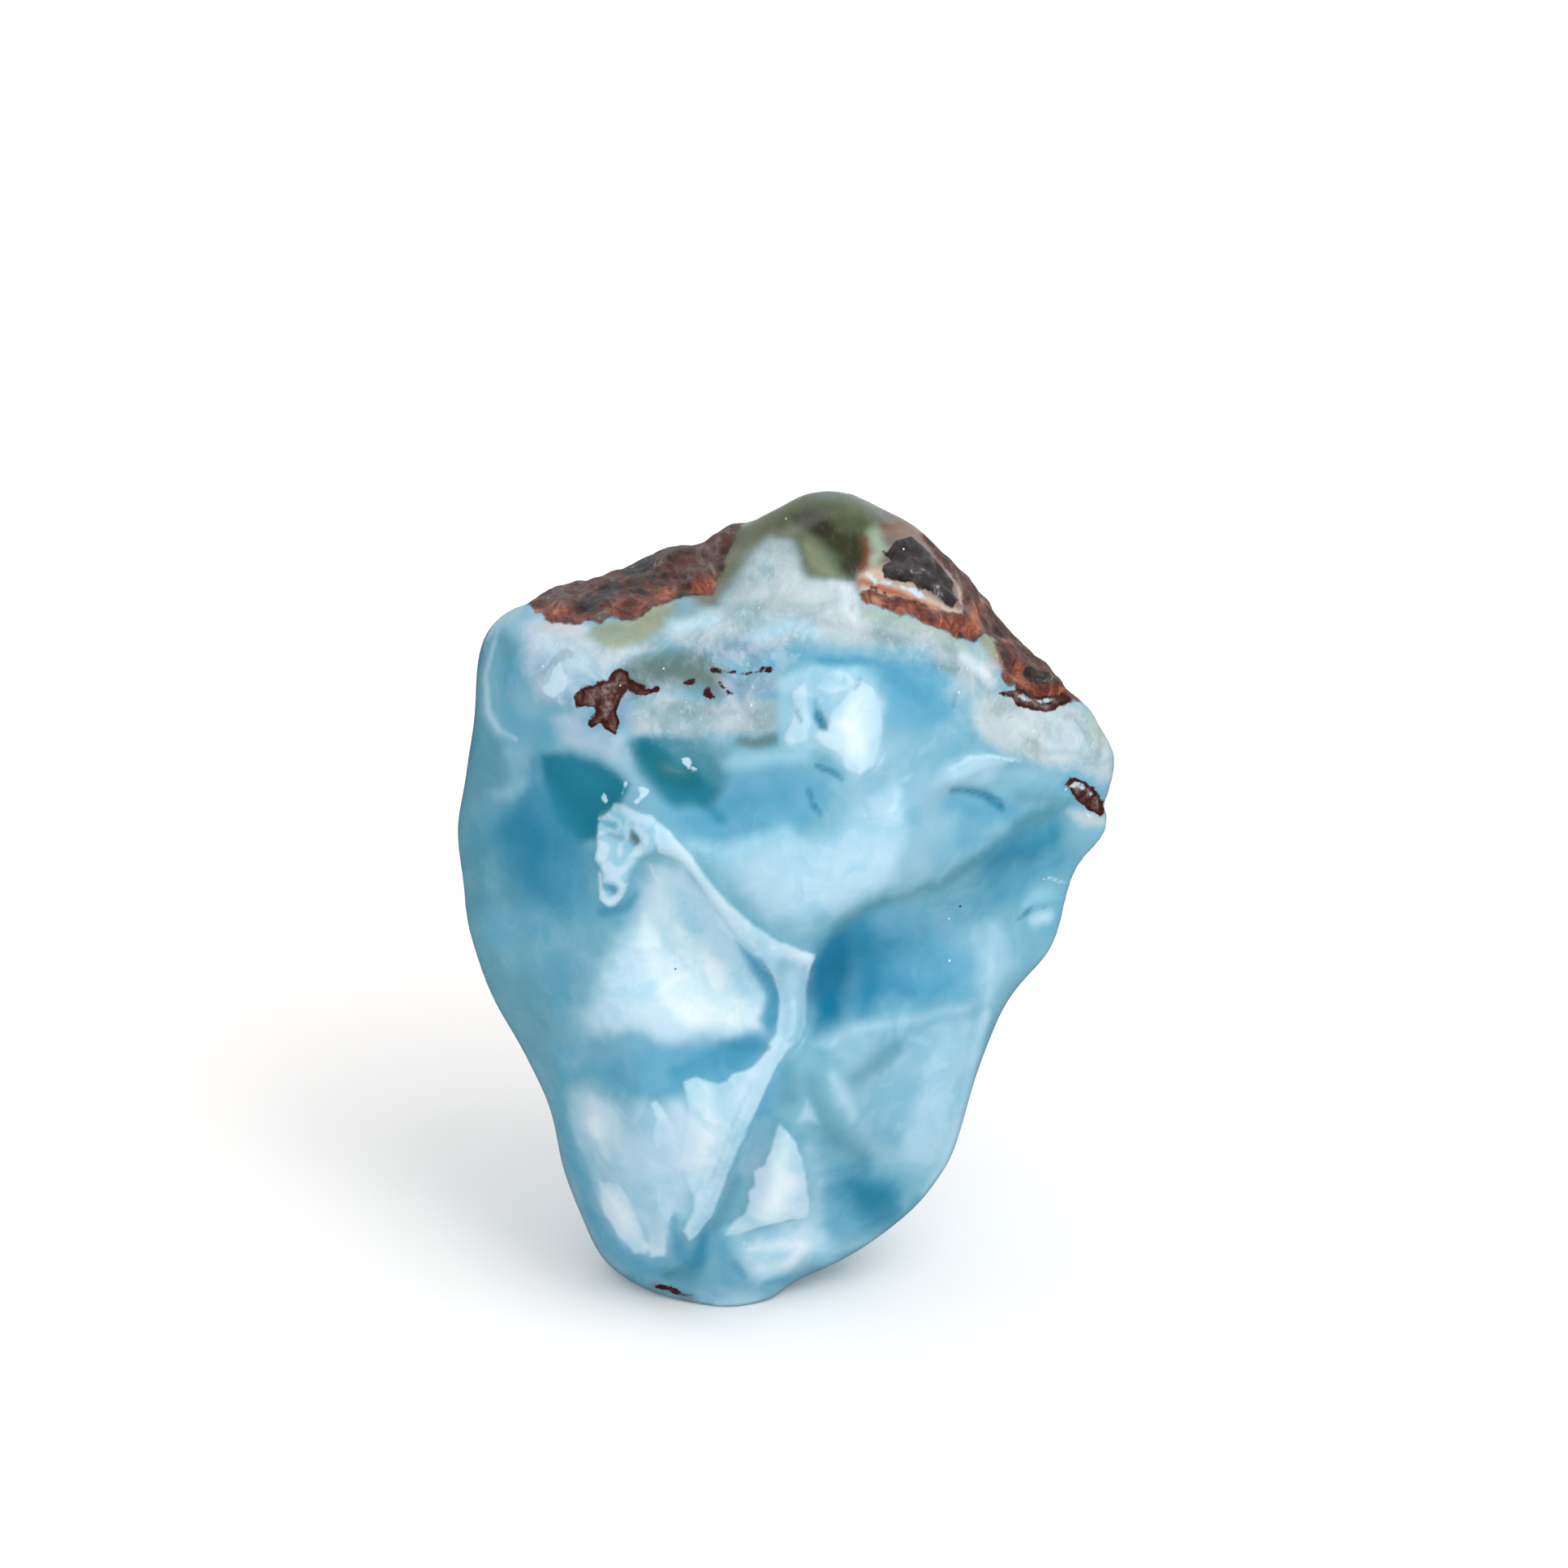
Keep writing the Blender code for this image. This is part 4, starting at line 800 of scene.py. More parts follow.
BACK_WASHES: tuple[Wash, ...] = (
    Wash(Tint.FOAM, 0.9, 2.0, ((-12.0, 34.0, 3.0), (-4.0, 31.0, 4.0), (6.0, 32.0, 4.0), (14.0, 33.0, 2.0))),
    Wash(Tint.SKY, 0.9, 2.0, ((-16.0, 28.0, 3.0), (-8.0, 24.0, 4.0), (2.0, 22.0, 4.0), (10.0, 25.0, 3.0))),
    Wash(Tint.SEA, 0.85, 1.8, ((-12.0, 26.0, 2.0), (-6.0, 21.0, 2.4), (-1.0, 17.0, 1.8))),
    Wash(Tint.DEEP, 0.7, 1.4, ((-8.0, 23.0, 1.2), (-4.0, 19.6, 1.4))),
    Wash(Tint.TEAL, 0.8, 1.2, ((7.0, 28.6, 1.2), (10.0, 27.0, 1.6), (12.0, 24.0, 1.0))),
    Wash(Tint.PALE, 0.9, 1.4, ((4.0, 18.0, 1.6), (7.0, 13.0, 2.2), (6.0, 8.0, 1.8))),
    Wash(Tint.AZURE, 0.85, 1.4, ((-10.0, 13.0, 1.6), (-6.0, 9.0, 2.0), (-2.0, 5.0, 1.6))),
    Wash(Tint.MILK, 0.9, 1.0, (
        (-14.0, 18.0, 0.6), (-10.0, 16.6, 1.2), (-5.0, 14.0, 1.2), (-1.0, 11.0, 0.6),
    )),
    Wash(Tint.HAZE, 0.8, 0.8, ((8.0, 17.0, 1.0), (11.0, 15.0, 1.0))),
    Wash(Tint.LILAC, 0.85, 1.0, ((-16.0, 36.0, 0.8), (-11.0, 37.0, 1.4), (-6.0, 36.0, 1.0))),
    Wash(Tint.GREY, 0.95, 1.0, (
        (-17.0, 38.6, 1.4), (-8.0, 38.4, 1.8), (0.0, 39.0, 1.8), (8.0, 38.0, 1.8), (17.0, 35.6, 1.4),
    )),
    Wash(Tint.FROST, 0.8, 0.8, ((-6.0, 39.6, 0.8), (1.0, 37.6, 1.2), (6.0, 39.0, 1.0), (12.0, 36.6, 1.0))),
    Wash(Tint.SMOKE, 0.85, 0.7, (
        (-14.0, 40.6, 0.6), (-6.0, 41.4, 0.8), (2.0, 41.6, 1.0), (9.0, 40.2, 0.8),
    )),
    Wash(Tint.TAUPE, 0.9, 1.0, (
        (-14.0, 44.0, 1.6), (-6.0, 46.0, 2.4), (2.0, 47.0, 3.0), (9.0, 46.0, 2.4), (15.0, 41.0, 1.6),
    )),
    Wash(Tint.SMOKE, 0.8, 0.6, ((-6.4, 2.0, 0.8), (-2.0, 1.2, 0.8), (1.6, 1.6, 0.6))),
)

BACK_PALE: tuple[Wash, ...] = (
    Wash(Tint.HAZE, 0.8, 1.0, ((-14.0, 32.0, 4.0), (-4.0, 28.0, 2.0), (8.0, 22.0, 3.0), (13.0, 19.0, 3.0))),
    Wash(Tint.HAZE, 0.9, 1.0, ((2.4, 22.0, 1.4), (1.6, 15.0, 3.0), (-8.0, 15.0, 4.0))),
    Wash(Tint.PALE, 0.9, 1.6, ((-9.0, 30.0, 0.6), (-3.0, 27.6, 1.2), (2.6, 23.0, 1.0))),
    Wash(Tint.ICE, 0.9, 0.8, ((0.0, 27.0, 1.0), (2.2, 22.0, 0.6))),
    Wash(Tint.PALE, 0.9, 0.8, ((8.0, 21.6, 0.8), (12.0, 19.0, 0.6))),
)

BACK_INLAYS: tuple[Inlay, ...] = (
    Inlay(Vein.MILK, (
        (-13.6, 31.6, 0.1), (-10.4, 30.2, 0.5), (-7.0, 29.4, 0.3), (-3.6, 27.4, 0.6), (0.0, 27.2, 0.8),
        (1.6, 26.8, 0.6), (5.4, 24.6, 0.3), (8.0, 21.6, 0.6), (12.6, 19.4, 0.1),
    )),
    Inlay(Vein.MILK, (
        (1.0, 27.0, 0.7), (2.6, 23.8, 0.3), (2.2, 20.6, 0.5), (2.6, 17.0, 0.3), (0.6, 12.0, 0.1),
    )),
    Inlay(Vein.MILK, ((2.4, 20.4, 0.3), (-1.4, 18.8, 0.2), (-4.0, 15.4, 0.4), (-8.4, 14.6, 0.1))),
    Inlay(Vein.RIND, (
        (-18.0, 43.0), (-16.0, 42.2), (-12.6, 42.6), (-9.0, 41.6), (-5.4, 42.8), (-2.0, 42.0), (1.6, 42.8),
        (5.0, 41.4), (8.0, 41.8), (11.0, 39.6), (14.0, 39.4), (18.0, 37.0), (21.0, 38.0), (16.0, 46.0),
        (8.0, 53.0), (-4.0, 52.0), (-18.0, 47.0),
    )),
    Inlay(Vein.RUST, ((-17.0, 42.6, 0.8), (-12.6, 43.0, 0.7), (-9.0, 42.0, 0.9), (-5.4, 43.2, 0.6))),
    Inlay(Vein.RUST, ((1.6, 43.2, 0.7), (5.0, 41.9, 0.9), (8.0, 42.2, 0.6))),
    Inlay(Vein.RUST, ((11.0, 40.2, 0.8), (14.0, 39.8, 0.8), (18.0, 37.6, 0.9))),
    Inlay(Vein.BASALT, (
        (-8.0, 45.6), (-6.4, 46.6), (-4.4, 46.2), (-4.0, 44.6), (-5.6, 44.0), (-7.4, 44.4),
    )),
    Inlay(Vein.BASALT, ((4.0, 46.0, 0.5), (5.2, 45.2, 0.7), (6.2, 45.4, 0.4))),
    Inlay(Vein.MOSS, (
        (-14.0, 41.2, 0.5), (-9.0, 40.6, 0.7), (-4.0, 41.4, 0.8), (1.0, 41.4, 0.9), (5.0, 40.4, 0.7),
    )),
    Inlay(Vein.MOSS, ((8.0, 40.6, 0.6), (12.0, 38.6, 0.6))),
    Inlay(Vein.GRAIN, (
        (-17.0, 38.6, 1.6), (-8.0, 38.4, 2.2), (0.0, 39.0, 2.4), (8.0, 38.0, 2.2), (17.0, 35.6, 1.8),
    )),
    Inlay(Vein.INCLUSION, (
        (-3.4, 37.0), (-2.6, 37.9), (-1.2, 37.5), (-0.6, 38.2), (0.1, 37.3), (-0.5, 36.4), (-1.8, 36.7),
        (-2.6, 36.1),
    )),
    Inlay(Vein.INCLUSION, ((9.2, 35.4, 0.25), (10.4, 35.0, 0.35), (11.2, 35.3, 0.15))),
    Inlay(Vein.INCLUSION, ((-11.4, 33.8, 0.15), (-10.2, 33.4, 0.25), (-9.6, 33.5, 0.1))),
    Inlay(Vein.CHALK, ((5.6, 33.4), (6.2, 34.3), (7.0, 34.0), (6.8, 33.2), (7.2, 32.4), (6.3, 32.6))),
    Inlay(Vein.CHALK, ((-13.6, 22.0, 0.2), (-12.8, 21.2, 0.3), (-12.6, 20.4, 0.15))),
)

BACK_FORMS: tuple[Form, ...] = (
    Form(0.25, 0.5, (
        (1.0, 27.0, 0.7), (2.6, 23.8, 0.3), (2.2, 20.6, 0.5), (2.6, 17.0, 0.3), (0.6, 12.0, 0.1),
    )),
    Form(0.2, 0.5, (
        (-3.6, 27.4, 0.6), (1.6, 26.8, 0.6), (5.4, 24.6, 0.3), (8.0, 21.6, 0.6), (12.6, 19.4, 0.1),
    )),
    Form(-0.25, 0.6, ((-8.0, 23.0, 0.8), (-4.0, 19.6, 1.0))),
)


@dataclass(frozen=True)
class Side:
    """All that lies on one side of the stone."""

    washes: tuple[Wash, ...]
    pale: tuple[Wash, ...]
    inlays: tuple[Inlay, ...]
    forms: tuple[Form, ...]

    def depths(self, vein: Vein, across: np.ndarray, up: np.ndarray) -> np.ndarray:
        """Finds how deep each place lies inside a kind of vein.

        Args:
            vein: The kind of vein.
            across: The places' distances to the right, in millimetres.
            up: Their distances up the face.

        Returns:
            The depths in millimetres, held between far outside and far inside.
        """
        deepest = np.full(len(across), FAR_OUTSIDE)
        for inlay in self.inlays:
            if inlay.vein is vein:
                deepest = np.maximum(deepest, Patch(1.0, inlay.marks).depth(across, up))
        return np.clip(deepest, FAR_OUTSIDE, FAR_INSIDE)


FACE = Side(FACE_WASHES, FACE_PALE_AND_HIGHLIGHTS, FACE_INLAYS, FACE_FORMS)
BACK = Side(BACK_WASHES, BACK_PALE, BACK_INLAYS, BACK_FORMS)


@dataclass(frozen=True)
class FaceFrame:
    """How the face stands in the room: leaning back, over the flat spot."""

    lean: float = math.radians(20.0)
    shift: tuple[float, float, float] = (-0.4761, -9.4897, -0.35)

    def forward(self) -> Vector:
        """The way out of the face."""
        return Vector((0.0, -math.cos(self.lean), math.sin(self.lean)))

    def laid_out(self, places: np.ndarray) -> np.ndarray:
        """Lays places in the room out on the face.

        Args:
            places: One row of three for each place, in metres.

        Returns:
            Rows of across, up and forward, in millimetres.
        """
        x, y, z = (places / MM - np.array(self.shift)).T
        up = y * math.sin(self.lean) + z * math.cos(self.lean)
        out = z * math.sin(self.lean) - y * math.cos(self.lean)
        return np.stack((x, up, out), axis=1)

    def standing(self, across: float, up: float, out: float) -> Vector:
        """Finds where a place on the face, or in front of it, stands in the room.

        Args:
            across: The place's distance to the right, in millimetres.
            up: Its distance up the face.
            out: Its distance out of the face.

        Returns:
            The place in the room, in metres.
        """
        y = up * math.sin(self.lean) - out * math.cos(self.lean)
        z = up * math.cos(self.lean) + out * math.sin(self.lean)
        return (Vector((across, y, z)) + Vector(self.shift)) * MM


@dataclass(frozen=True)
class Clouds:
    """A kind of noise: how fine it is, how many layers it has, how rough they are and how they swirl."""

    scale: float
    detail: float = 4.0
    rough: float = 0.55
    swirl: float = 0.0


@dataclass(frozen=True)
class Rise:
    """How the range of a value, from low to high, is spread over another range."""

    low: float
    high: float
    to_low: float = 0.0
    to_high: float = 1.0


class Bench:
    """Lays out a finish's nodes, one call for each."""

    def __init__(self, material: bpy.types.Material) -> None:
        """Clears the material's nodes and keeps its tree."""
        material.use_nodes = True
        self.tree = material.node_tree
        self.tree.nodes.clear()

    def add(self, kind: str, **settings: str) -> bpy.types.Node:
        """Adds a node.

        Args:
            kind: The node's type.
            settings: Its options by name.

        Returns:
            The new node.
        """
        node = self.tree.nodes.new(kind)
        for name, value in settings.items():
            setattr(node, name, value)
        return node

    def feed(self, socket: Socket, value: Value | tuple[float, ...]) -> None:
        """Links a socket into an input, or sets the input to a value.

        Args:
            socket: The input.
            value: The socket to link, or the value to set.
        """
        if isinstance(value, Socket):
            self.tree.links.new(value, socket)
        else:
            socket.default_value = value

    def math(self, operation: str, first: Value, second: Value = 0.0, third: Value = 0.0) -> Socket:
        """Adds one sum.

        Args:
            operation: The kind of sum.
            first: Its first value.
            second: Its second value.
            third: Its third value, where it has one.

        Returns:
            The result.
        """
        node = self.add("ShaderNodeMath", operation=operation)
        for socket, value in zip(node.inputs, (first, second, third)):
            self.feed(socket, value)
        return node.outputs[0]

    def stretched(self, places: Socket, scale: tuple[float, float, float]) -> Socket:
        """Stretches the places, for patterns with a grain.

        Args:
            places: The places.
            scale: How many times along each of the three ways.

        Returns:
            The stretched places.
        """
        node = self.add("ShaderNodeMapping")
        self.feed(node.inputs["Vector"], places)
        node.inputs["Scale"].default_value = scale
        return node.outputs[0]

    def noise(self, places: Socket, clouds: Clouds) -> Socket:
        """Adds a cloudy value about a half.

        Args:
            places: Where it is read.
            clouds: The kind of noise.

        Returns:
            The value.
        """
        node = self.add("ShaderNodeTexNoise")
        self.feed(node.inputs["Vector"], places)
        node.inputs["Scale"].default_value = clouds.scale
        node.inputs["Detail"].default_value = clouds.detail
        node.inputs["Roughness"].default_value = clouds.rough
        node.inputs["Distortion"].default_value = clouds.swirl
        return node.outputs["Fac"]

    def spread(self, value: Socket, rise: Rise) -> Socket:
        """Spreads a value's range smoothly over another, and holds it at its ends.

        Args:
            value: The value.
            rise: The two ranges.

        Returns:
            The spread value.
        """
        node = self.add("ShaderNodeMapRange", interpolation_type="SMOOTHSTEP")
        for socket, number in zip(node.inputs, (value, rise.low, rise.high, rise.to_low, rise.to_high)):
            self.feed(socket, number)
        return node.outputs[0]

    def blend(self, share: Value, under: Colour, over: Colour, mode: str = "MIX") -> Socket:
        """Lays one colour over another.

        Args:
            share: How much of the upper one shows.
            under: The lower colour.
            over: The upper colour.
            mode: How the two are blended.

        Returns:
            The blended colour.
        """
        node = self.add("ShaderNodeMix", data_type="RGBA", blend_type=mode)
        self.feed(node.inputs[0], share)
        for socket, colour in ((node.inputs[6], under), (node.inputs[7], over)):
            self.feed(socket, colour if isinstance(colour, Socket) else (*colour, 1.0))
        return node.outputs[2]

    def ramp(self, value: Socket, stops: Stops) -> Socket:
        """Lays colours out in the order of a value.

        Args:
            value: The value.
            stops: Each colour after the value that it stands at.

        Returns:
            The colour.
        """
        node = self.add("ShaderNodeValToRGB")
        self.feed(node.inputs[0], value)
        marks = node.color_ramp.elements
        marks.remove(marks[1])
        for place, shade in stops:
            mark = marks[0] if place == stops[0][0] else marks.new(place)
            mark.position = place
            mark.color = (*(to_linear(channel / 255.0) * RAMP_SHARE for channel in shade), 1.0)
        return node.outputs[0]

    def kept(self, name: str, colour: bool = False) -> Socket:
        """What the stone's points keep under a name."""
        node = self.add("ShaderNodeAttribute", attribute_name=name)
        return node.outputs["Color" if colour else "Fac"]


@dataclass(frozen=True)
class Specks:
    """Tiny specks of one tint, such as dark grains and white painted glints: how close, how big, and how many
    more of them lie in the crust.
    """

    scale: float
    size: float
    crust_share: float
    tint: Tint


@dataclass(frozen=True)
class VeinEdge:
    """The edge of a kind of vein: how ragged it is and how soft, in millimetres."""

    ragged: float
    soft: float


VEIN_EDGES: dict[Vein, VeinEdge] = {
    Vein.POOL: VeinEdge(0.5, 0.22),
    Vein.MILK: VeinEdge(0.25, 0.14),
    Vein.CHALK: VeinEdge(0.9, 0.08),
    Vein.INCLUSION: VeinEdge(0.9, 0.06),
    Vein.BASALT: VeinEdge(0.6, 0.06),
    Vein.RUST: VeinEdge(1.2, 0.5),
    Vein.RIND: VeinEdge(0.8, 0.12),
    Vein.MOSS: VeinEdge(2.0, 0.9),
    Vein.GRAIN: VeinEdge(2.0, 1.2),
}
RIND_STOPS: Stops = (
    (0.36, (36, 31, 31)),
    (0.43, (74, 44, 38)),
    (0.5, (110, 54, 40)),
    (0.56, (98, 76, 70)),
    (0.65, (130, 119, 114)),
)
RUST_STOPS: Stops = (
    (0.38, (84, 36, 28)),
    (0.48, (134, 58, 38)),
    (0.56, (176, 90, 54)),
    (0.68, (206, 150, 116)),
)
BROWN_STOPS: Stops = (
    (0.36, (48, 26, 24)),
    (0.46, (84, 46, 42)),
    (0.54, (108, 80, 74)),
    (0.64, (152, 134, 128)),
)
BASALT_STOPS: Stops = (
    (0.38, (34, 27, 29)),
    (0.52, (58, 48, 50)),
    (0.6, (84, 76, 77)),
    (0.66, (170, 164, 160)),
)

@dataclass(frozen=True)
class LarimarFinish:
    """Waxy worn pectolite with its crisp veins and its rough rind."""

    worn_roughness: float = 0.26
    rind_roughness: float = 0.7
    basalt_share: float = 0.6
    glow: float = 0.06
    glow_depth: float = 0.001
    glow_reach: tuple[float, float, float] = (0.8, 1.0, 1.2)
    index: float = 1.5
    coat: float = 0.15
    coat_roughness: float = 0.12
    sheen: float = 0.08
    sheen_roughness: float = 0.35
    sheen_tint: tuple[float, float, float, float] = (0.75, 0.9, 1.0, 1.0)
    relief: float = 0.8
    relief_depth: float = 0.5
    relief_everywhere: float = 0.02
    relief_in_grain: float = 0.22
    relief_in_rind: float = 0.8
    inclusion_sink: float = -0.12
    stretch: tuple[float, float, float] = (1000.0, 450.0, 1000.0)
    wander: Clouds = Clouds(1.2, 5.0)
    cloud: Clouds = Clouds(0.2, 5.0, 0.55, 0.5)
    veil: Clouds = Clouds(0.55, 5.0, 0.6, 1.0)
    blotch: Clouds = Clouds(0.45, 5.0, 0.6, 0.6)
    grain: Clouds = Clouds(2.2, 3.0, 0.6)
    fleck: Clouds = Clouds(0.7, 8.0, 0.68, 1.2)
    mottle: Clouds = Clouds(1.5, 6.0, 0.7, 0.3)
    crumb: Clouds = Clouds(2.2, 5.0, 0.65)
    lighter: tuple[float, float, float] = (1.12, 1.07, 1.05)
    darker: tuple[float, float, float] = (0.74, 0.90, 0.94)
    milk_cover: float = 0.92
    pool_cover: float = 0.75
    moss_cover: float = 0.3
    chalk_cover: float = 0.85
    cloud_rise: Rise = Rise(0.4, 0.6, 0.1, 1.0)
    veil_rise: Rise = Rise(0.45, 0.65, 0.0, 0.55)
    white_spots: Rise = Rise(0.48, 0.62, 0.0, 0.32)
    dull_spots: Rise = Rise(0.47, 0.36, 0.0, 0.35)
    icy_grains: Rise = Rise(0.56, 0.7, 0.0, 0.22)
    moss_blotches: Rise = Rise(0.4, 0.62)
    sage_grains: Rise = Rise(0.5, 0.75, 0.0, 0.3)
    heart: Rise = Rise(0.05, 0.35)
    speck_chance: Rise = Rise(0.84, 0.86)
    speck_core: float = 0.6
    specks: tuple[Specks, ...] = (
        Specks(0.45, 0.055, 0.35, Tint.PEAT),
        # White specks: painted glints.
        Specks(0.8, 0.07, 0.3, Tint.CHALK),
    )

    def material(self) -> bpy.types.Material:
        """Makes the finish.

        Returns:
            The finish as a material.
        """
        material = bpy.data.materials.new("larimar")
        bench = Bench(material)
        places = bench.stretched(bench.add("ShaderNodeTexCoord").outputs["Object"], self.stretch)
        wander = bench.math("SUBTRACT", bench.noise(places, self.wander), 0.5)
        inside = {vein: self.inside(bench, vein, wander) for vein in Vein}
        colour = self.body_colour(bench, places, inside)
        colour = self.crust_colour(bench, places, inside, colour)
        colour = self.vein_colours(bench, places, inside, colour)
        colour = self.speckled(bench, places, inside, colour)
        rough_rock = bench.math("MULTIPLY", inside[Vein.BASALT], self.basalt_share)
        rough_parts = bench.math("MAXIMUM", inside[Vein.RIND], rough_rock)
        roughness = bench.spread(rough_parts, Rise(0.0, 1.0, self.worn_roughness, self.rind_roughness))
        shader = bench.add("ShaderNodeBsdfPrincipled")
        bench.feed(shader.inputs["Base Color"], colour)
        bench.feed(shader.inputs["Roughness"], roughness)
        bench.feed(shader.inputs["Normal"], self.fine_relief(bench, places, inside))
        for name, value in (
            ("IOR", self.index),
            ("Subsurface Weight", self.glow),
            ("Subsurface Radius", self.glow_reach),
            ("Subsurface Scale", self.glow_depth),
            ("Coat Weight", self.coat),
            ("Coat Roughness", self.coat_roughness),
            ("Sheen Weight", self.sheen),
            ("Sheen Roughness", self.sheen_roughness),
            ("Sheen Tint", self.sheen_tint),
        ):
            shader.inputs[name].default_value = value
        output = bench.add("ShaderNodeOutputMaterial")
        bench.tree.links.new(shader.outputs[0], output.inputs["Surface"])
        return material

    def inside(self, bench: Bench, vein: Vein, wander: Socket) -> Socket:
        """Tells the inside of a kind of vein from its outside.

        Args:
            bench: The finish's nodes.
            vein: The kind of vein.
            wander: The noise that makes the edge ragged.

        Returns:
            1 inside the vein and 0 outside it.
        """
        edge = VEIN_EDGES[vein]
        depth = bench.math("MULTIPLY_ADD", wander, edge.ragged, bench.kept(vein.value))
        return bench.spread(depth, Rise(-edge.soft, edge.soft))

    def body_colour(self, bench: Bench, places: Socket, inside: dict[Vein, Socket]) -> Socket:
        """Lays pale veins, with the painted highlights among them, and pools over the washes, with the
        mineral's clouds and veils in them.

        Args:
            bench: The finish's nodes.
            places: Where patterns are read.
            inside: The inside of each kind of vein.

        Returns:
            The colour.
        """
        tint = bench.kept("tint", colour=True)
        pale = bench.kept("pale", colour=True)
        for vein, cover, over in (
            (Vein.MILK, self.milk_cover, pale),
            (Vein.POOL, self.pool_cover, Tint.DEEP.linear()),
        ):
            tint = bench.blend(bench.math("MULTIPLY", inside[vein], cover), tint, over)
        cloud = bench.noise(places, self.cloud)
        veil = bench.noise(places, self.veil)
        lighter = bench.blend(1.0, tint, self.lighter, "MULTIPLY")
        darker = bench.blend(1.0, tint, self.darker, "MULTIPLY")
        colour = bench.blend(bench.spread(cloud, self.cloud_rise), darker, tint)
        return bench.blend(bench.spread(veil, self.veil_rise), colour, lighter)

    def crust_colour(self, bench: Bench, places: Socket, inside: dict[Vein, Socket],
                     colour: Socket) -> Socket:
        """Lays white grains, dull spots and moss green stains over the crust.

        Args:
            bench: The finish's nodes.
            places: Where patterns are read.
            inside: The inside of each kind of vein.
            colour: The colour under them.

        Returns:
            The colour with them.
        """
        blotch = bench.noise(places, self.blotch)
        grain = bench.noise(places, self.grain)
        off_moss = bench.math("SUBTRACT", 1.0, inside[Vein.MOSS])
        in_crust = bench.math("MULTIPLY", inside[Vein.GRAIN], off_moss)
        for pattern, rise, tint in (
            (blotch, self.white_spots, Tint.CHALK),
            (blotch, self.dull_spots, Tint.SMOKE),
            (grain, self.icy_grains, Tint.ICE),
        ):
            share = bench.math("MULTIPLY", in_crust, bench.spread(pattern, rise))
            colour = bench.blend(share, colour, tint.linear())
        green = bench.blend(bench.spread(blotch, self.moss_blotches), Tint.OLIVE.linear(), Tint.MOSS.linear())
        green = bench.blend(bench.spread(grain, self.sage_grains), green, Tint.SAGE.linear())
        return bench.blend(bench.math("MULTIPLY", inside[Vein.MOSS], self.moss_cover), colour, green)

    def vein_colours(self, bench: Bench, places: Socket, inside: dict[Vein, Socket],
                     colour: Socket) -> Socket:
        """Lays what is let into the stone over it, one kind over another.

        Args:
            bench: The finish's nodes.
            places: Where patterns are read.
            inside: The inside of each kind of vein.
            colour: The colour under them.

        Returns:
            The colour with them.
        """
        fleck = bench.noise(places, self.fleck)
        rusty = bench.math("MULTIPLY", inside[Vein.RUST], inside[Vein.RIND])
        heart = bench.spread(bench.kept(Vein.INCLUSION.value), self.heart)
        brown = bench.ramp(bench.noise(places, self.mottle), BROWN_STOPS)
        for share, over in (
            (inside[Vein.RIND], bench.ramp(fleck, RIND_STOPS)),
            (rusty, bench.ramp(fleck, RUST_STOPS)),
            (inside[Vein.INCLUSION], bench.blend(heart, Tint.PLUM.linear(), brown)),
            (bench.math("MULTIPLY", inside[Vein.CHALK], self.chalk_cover), Tint.MILK.linear()),
            (inside[Vein.BASALT], bench.ramp(fleck, BASALT_STOPS)),
        ):
            colour = bench.blend(share, colour, over)
        return colour

    def speckled(self, bench: Bench, places: Socket, inside: dict[Vein, Socket],
                 colour: Socket) -> Socket:
        """Scatters a few tiny dark specks, and white specks that are painted glints, more of them in the
        crust.

        Args:
            bench: The finish's nodes.
            places: Where patterns are read.
            inside: The inside of each kind of vein.
            colour: The colour under them.

        Returns:
            The colour with them.
        """
        for kind in self.specks:
            cells = bench.add("ShaderNodeTexVoronoi")
            bench.feed(cells.inputs["Vector"], places)
            cells.inputs["Scale"].default_value = kind.scale
            lot = cells.outputs["Color"]
            chance = bench.math("MULTIPLY_ADD", inside[Vein.GRAIN], kind.crust_share, lot)
            spot = bench.spread(cells.outputs["Distance"], Rise(kind.size, kind.size * self.speck_core))
            share = bench.math("MULTIPLY", bench.spread(chance, self.speck_chance), spot)
            colour = bench.blend(share, colour, kind.tint.linear())
        return colour

    def fine_relief(self, bench: Bench, places: Socket, inside: dict[Vein, Socket]) -> Socket:
        """Gives the surface the grain that is too fine for the mesh.

        Args:
            bench: The finish's nodes.
            places: Where patterns are read.
            inside: The inside of each kind of vein.

        Returns:
            The surface's direction.
        """
        crumb = bench.noise(places, self.crumb)
        depth = self.relief_everywhere
        for vein, amount in ((Vein.GRAIN, self.relief_in_grain), (Vein.RIND, self.relief_in_rind)):
            depth = bench.math("MULTIPLY_ADD", inside[vein], amount, depth)
        height = bench.math("MULTIPLY", crumb, depth)
        height = bench.math("MULTIPLY_ADD", inside[Vein.INCLUSION], self.inclusion_sink, height)
        bump = bench.add("ShaderNodeBump")
        bump.inputs["Strength"].default_value = self.relief
        bump.inputs["Distance"].default_value = self.relief_depth * MM
        bench.feed(bump.inputs["Height"], height)
        return bump.outputs[0]


